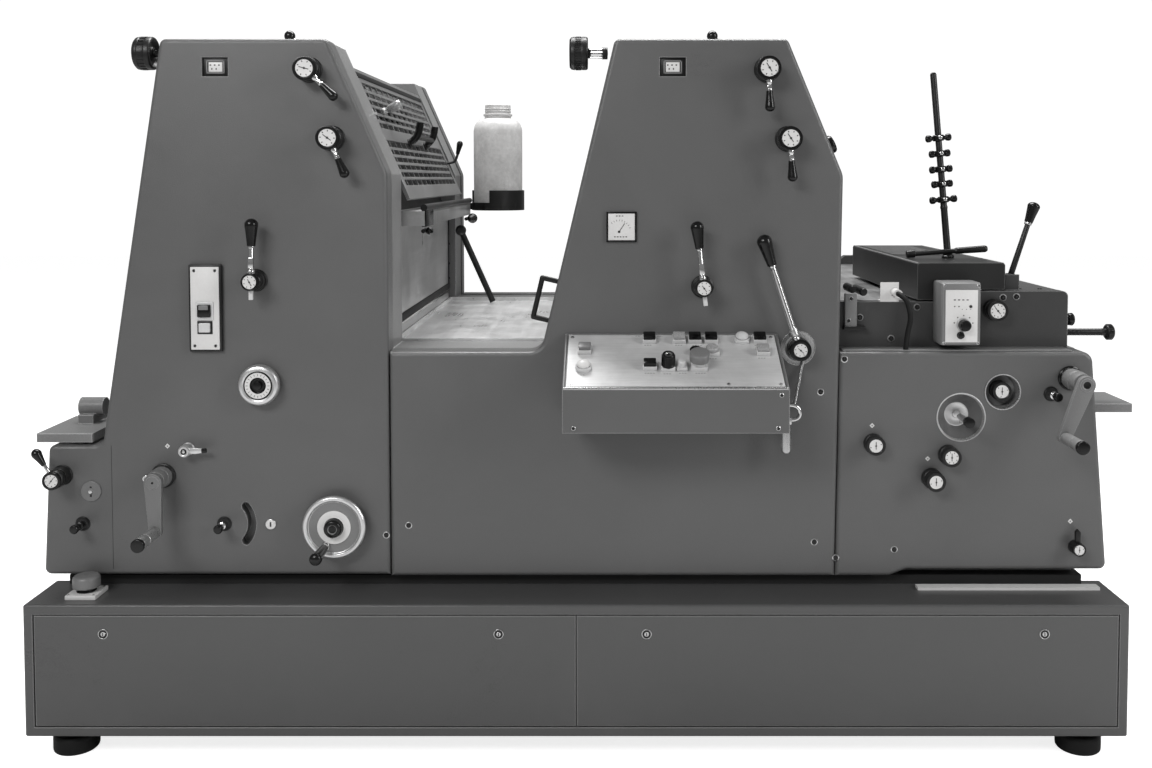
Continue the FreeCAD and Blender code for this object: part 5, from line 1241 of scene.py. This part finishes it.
# %% The fluid bottle
def bottle():
    low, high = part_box("bottle")
    middle = (low + high) / 2
    piece = Piece("bottle_shaped", drawn_at((middle.x, middle.y, low.z)), "bottle_plastic")
    shoulder = [(240 + 42 * math.sin(a), 44 + 32 * math.cos(a)) for a in [math.pi / 20 * i
        for i in range(11)]]
    # The open neck is lined with near black down to its floor: painted shade inside the mouth.
    piece.turned([(0, 68), (2.5, 73.5), (8, 76), (60, 75.7), (150, 76)] + shoulder + [(283, 41), (289, 41),
        (290, 45), (296, 45), (297, 39.6), (302, 39.6), (304, 41.4), (306, 39.6), (310, 39.6), (312, 41.4),
        (314, 39.6), (323, 39.6), (324.6, 38.4), (324.6, 33.5), (300, 33.5, "painted_shade_black")],
        "bottle_plastic", along=UP, edge=0.5, sides=72)
    piece.done(ROOT, ["bottle"])


bottle()

# %% [markdown]
# ## The guide mast and tee bar
# A black mast leans over the feed table with five cross clamps on it; each clamp is a collar with a
# short bar whose ends are rounded. The tee bar lies at its foot.

# %% The guide mast and tee bar
CLAMPS = ((132, 64), (168, 50), (202, 54), (238, 50), (274, 60))
MAST = (850, FRAME_FACE + 165, 1029)


def rounded_rod(start, length, radius, end):
    """Steps of a rod whose two ends swell into rounded heads."""
    head = [(0, 0), (0.8, end * 0.6), (3, end * 0.95), (8, end), (12, end * 0.9), (15, radius)]
    steps = [(start + d, r) for d, r in head]
    return steps + [(start + length - d, r) for d, r in head[::-1]]


def guide_mast():
    lean = Matrix.Translation(MAST) @ Matrix.Rotation(math.radians(-5.3), 4, "Y")
    piece = Piece("guide_mast_shaped", RULER @ lean, "dark_metal")
    piece.turned([(-3, 14), (2, 14), (4, 11), (12, 11), (14, 8), (110, 7.6), (112, 8.4), (116, 8.4),
        (118, 7.4), (420, 7.2), (424, 5), (425, 0)], "satin_black", along=UP)
    for z, reach in CLAMPS:
        piece.turned([(z - 7, 11.5), (z - 4.5, 13), (z + 4.5, 13), (z + 7, 11.5)], "gloss_black", along=UP,
            sides=32)
        piece.turned(rounded_rod(-reach / 2, reach, 5, 8.5), "gloss_black", (0, 0, z), ALONG, sides=28)
        piece.turned([(0, 4.6), (17, 4.6), (18, 3)], "chrome", (0, 0, z + 1), FRONT, sides=20)
    tee = offset(MAST[0] - 90, MAST[1] - 17, 1036) @ Matrix.Rotation(math.radians(-4), 4, "Y")
    bar = Piece("tee_bar_shaped", RULER @ tee, "dark_metal")
    bar.turned([(-10, 8), (-7, 9), (8, 9), (10, 6), (100, 5.4), (104, 7.4), (170, 8), (175, 6), (176, 0)],
        "satin_black", along=ALONG)
    piece.done(ROOT, ["guide_mast"])
    bar.done()


guide_mast()

# %% [markdown]
# ## Feet and end screws
# Rubber pads under short necks carry the base. At the feeder end a threaded screw with a ribbed knob
# stands out; its thread is a repeated zigzag in the profile.

# %% Feet and end screws
def feet():
    low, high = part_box("levelling_feet")
    piece = Piece("levelling_feet_shaped", RULER, "rubber")
    half = Vector(((high.x - low.x) / MM / 2 - 46, (high.y - low.y) / MM / 2 - 46))
    for x in (-half.x, half.x):
        for y in (-half.y, half.y):
            piece.turned([(0, 43), (3, 45.6), (8, 46), (30, 46), (36, 42.5), (38, 34),
                (38, 30, "satin_black"), (46, 30), (46, 27), (54.8, 27)], "rubber", (x, y, 0), UP, edge=1.2,
                sides=48)
    piece.done(ROOT, ["levelling_feet"])


def end_screws():
    end = 1063
    piece = Piece("end_screw_shaped", RULER, "dark_metal")
    y, z = (FRAME_FACE + 60, 868)
    thread = [(4 + 3 * i + d, r) for i in range(32) for d, r in ((0, 7.1), (1.5, 8.0))]
    piece.turned([(0, 12), (4, 12)] + thread + [(100, 8), (108, 8), (108, 14), (111, 17), (121, 17),
        (124, 14.5)], "satin_black", (end, y, z), ALONG, edge=0.4)
    piece.ring(18, 16.6, (2.0, 3.0, 10.0), "gloss_black", offset(end + 116, y, z)
        @ Matrix.Rotation(math.pi / 2, 4, "Y"))
    piece.block((end - 38, FRAME_FACE + 31, z - 14), (end + 4, FRAME_FACE + 80, z + 14), "satin_black", 1.6)
    piece.turned([(0, 9), (5, 9), (6, 13), (15, 14), (18, 11)], "gloss_black", (end, FRAME_FACE + 15, z + 34),
        ALONG)
    piece.done(ROOT, ["end_screw"])


feet()
end_screws()

# %% [markdown]
# ## Fittings of the guard and the ledge under it
# The grille guard has a black bar to lift it by, a pale knob and a curved catch with a black grip.
# The ledge below it carries a pale scale plate, a black end block and a few black knobs; rubber
# strips line the sheet under it.

# %% Fittings of the guard and the ledge
GUARD = Matrix.Translation(PIVOTS["guard"]) @ Matrix.Rotation(math.radians(66.5), 4, "Y") @ Matrix.Scale(MM,
    4)


def guard_fittings():
    piece = Piece("guard_handle_shaped", GUARD, "black_plastic")
    for side in (-1, 1):
        piece.turned([(3, 12), (7, 12), (8, 9), (10, 9)], "satin_black", (170, 125 * side, 0), UP)
        piece.bar([(170, 125 * side, 5), (166, 125 * side, 24), (150, 125 * side, 42), (132, 125 * side, 52)],
            9.5, "gloss_black")
    piece.bar([(163, -125, 30), (163, 125, 30)], 6.5, "satin_black")
    piece.turned([(3, 9), (8, 9), (10, 7), (16, 7), (20, 10), (44, 13), (50, 11), (52, 0)], "spun_metal",
        (92, -300, 0), UP)
    piece.bar([(216, 430, 3), (222, 434, 20), (218, 436, 34), (202, 436, 46)], 4, "satin_black")
    piece.turned(grip_steps(0, 42, 5.5, 9.5, 0.25), "gloss_black", (204, 436, 44), Vector((-0.8, 0, 0.6)),
        edge=0.3)
    piece.block((2, -452, 3.9), (15, 452, 5.4), "rubber", 0.4)
    piece.done("guard", ["guard_handle"])


def ledge_fittings():
    low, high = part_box("apron")
    edge, wall = ((high.x - BASE_MIDDLE.x) / MM, (low.x - BASE_MIDDLE.x) / MM + 4)
    top = high.z / MM
    piece = Piece("ledge_fittings", RULER, "light_plate")
    piece.block((edge - 0.2, -325, top - 34), (edge + 3, 400, top - 3), "bare_sheet", 0.8)
    piece.block((edge - 8, -438, top - 36), (edge + 4, -328, top + 2), "gloss_black", 2.0)
    piece.bar([(edge - 2, -438, top + 8), (edge - 2, 436, top + 8)], 8, "satin_black")
    for y, radius in ((-420, 9), (372, 9), (396, 12), (424, 15)):
        piece.turned(ball_steps(radius, 14, 12), "gloss_black", (edge - 6, y, top - 46), ALONG, sides=28,
            edge=0)
    piece.bar([(edge - 4, 360, top - 46), (edge - 4, 436, top - 46)], 5, "satin_black")
    piece.bar([(edge - 4, -436, top - 46), (edge - 4, -400, top - 46)], 5, "satin_black")
    piece.block((wall, -438, 872), (wall + 3, 438, 890), "rubber", 0.8)
    piece.block((wall, -438, 864), (wall + 2, 438, 871), "chrome", 0.6)
    for y in (-438, 430):
        piece.block((wall, y, 890), (wall + 2.5, y + 8, 1096), "rubber", 0.6)
    piece.screws([(wall + 2.6, y, z) for y in (-434, 434) for z in (905, 950, 1010)], 5, 2, facing=TO_FEEDER,
        washer="satin_black")
    piece.done()


guard_fittings()
ledge_fittings()

# %% [markdown]
# ## Hook, link and hanging handle
# Under the long lever a thin link runs down to a chromed hook on the desk's side, and a knurled
# handle hangs from the hook.

# %% Hook, link and hanging handle
def hook_and_handle():
    desk_side = (desk_high.x - BASE_MIDDLE.x) / MM
    spot = on_ruler("main_lever")
    y = FACE - 34
    piece = Piece("hook_and_handle", RULER, "chrome")
    piece.bar([(spot.x + 12, FACE - 5, spot.z - 16), (spot.x + 4, FACE - 8, spot.z - 60),
        (spot.x - 12, y + 6, spot.z - 120)], 3.2, "ground_steel")
    piece.bar([(desk_side - 3, y, 733), (desk_side + 22, y, 736), (desk_side + 42, y, 730),
        (desk_side + 45, y, 712), (desk_side + 34, y, 702), (desk_side + 20, y, 703)], 4.4, "chrome")
    piece.block((desk_side + 6, y - 6, 694), (desk_side + 26, y + 6, 709), "spun_metal", 2.0)
    piece.turned([(0, 8), (4, 10), (58, 10.4), (62, 9), (64, 0)], "ground_steel", (desk_side + 15, y, 696),
        -UP)
    piece.ring(26, 10.1, (0.9, 1.0, 46.0), "ground_steel", offset(desk_side + 15, y, 665))
    piece.done()


hook_and_handle()

# %% [markdown]
# ## Feeder details
# The suction head has slats across its top. A bracket with bolts and two rollers stand at the feed
# table's left end, a folded strip covers the joint over the feeder's cover, and socket screws hold
# the side plates.

# %% Feeder details
def feeder_details():
    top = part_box("feeder_head")[1].z / MM
    piece = Piece("feeder_details", RULER, "dark_metal")
    piece.row(16, (810, -330, top + 1), (0, 22, 0), (128, 7, 3.0), "cap_grey")
    for x in (739, 922):
        piece.bar([(x, -586, top - 1.5), (x, 64, top - 1.5)], 2.4, "cap_grey")
    piece.block((577, FRAME_FACE - 13, 889), (603, FRAME_FACE, 961), "crank_grey", 1.6)
    piece.block((574, FRAME_FACE - 18, 882), (622, FRAME_FACE, 890), "satin_black", 1.4)
    piece.screws([(590, FRAME_FACE - 13, 950), (585, FRAME_FACE - 13, 902)], 5, 2)
    piece.screws([(612, FRAME_FACE, 908), (680, FRAME_FACE, 862), (736, FRAME_FACE, 930),
        (922, FRAME_FACE, 951), (951, FRAME_FACE, 953)], 8, 3.0, washer="crank_grey")
    for x, z, reach in ((598, 968, 70), (622, 962, 95)):
        piece.turned([(0, 7), (6, 9), (reach - 6, 9), (reach, 7)], "satin_black", (x, FRAME_FACE + 8, z),
            -FRONT)
    piece.block((566, FACE + 9, 841), (1052, FRAME_FACE - 2, 844.5), "crank_grey", 0.8)
    for x in (880, 905, 930, 955, 1000):
        piece.turned([(0, 5), (1.5, 4.4)], "gloss_black", (x + 20, FRAME_FACE + 50, 965), UP, sides=16)
    piece.done()


feeder_details()
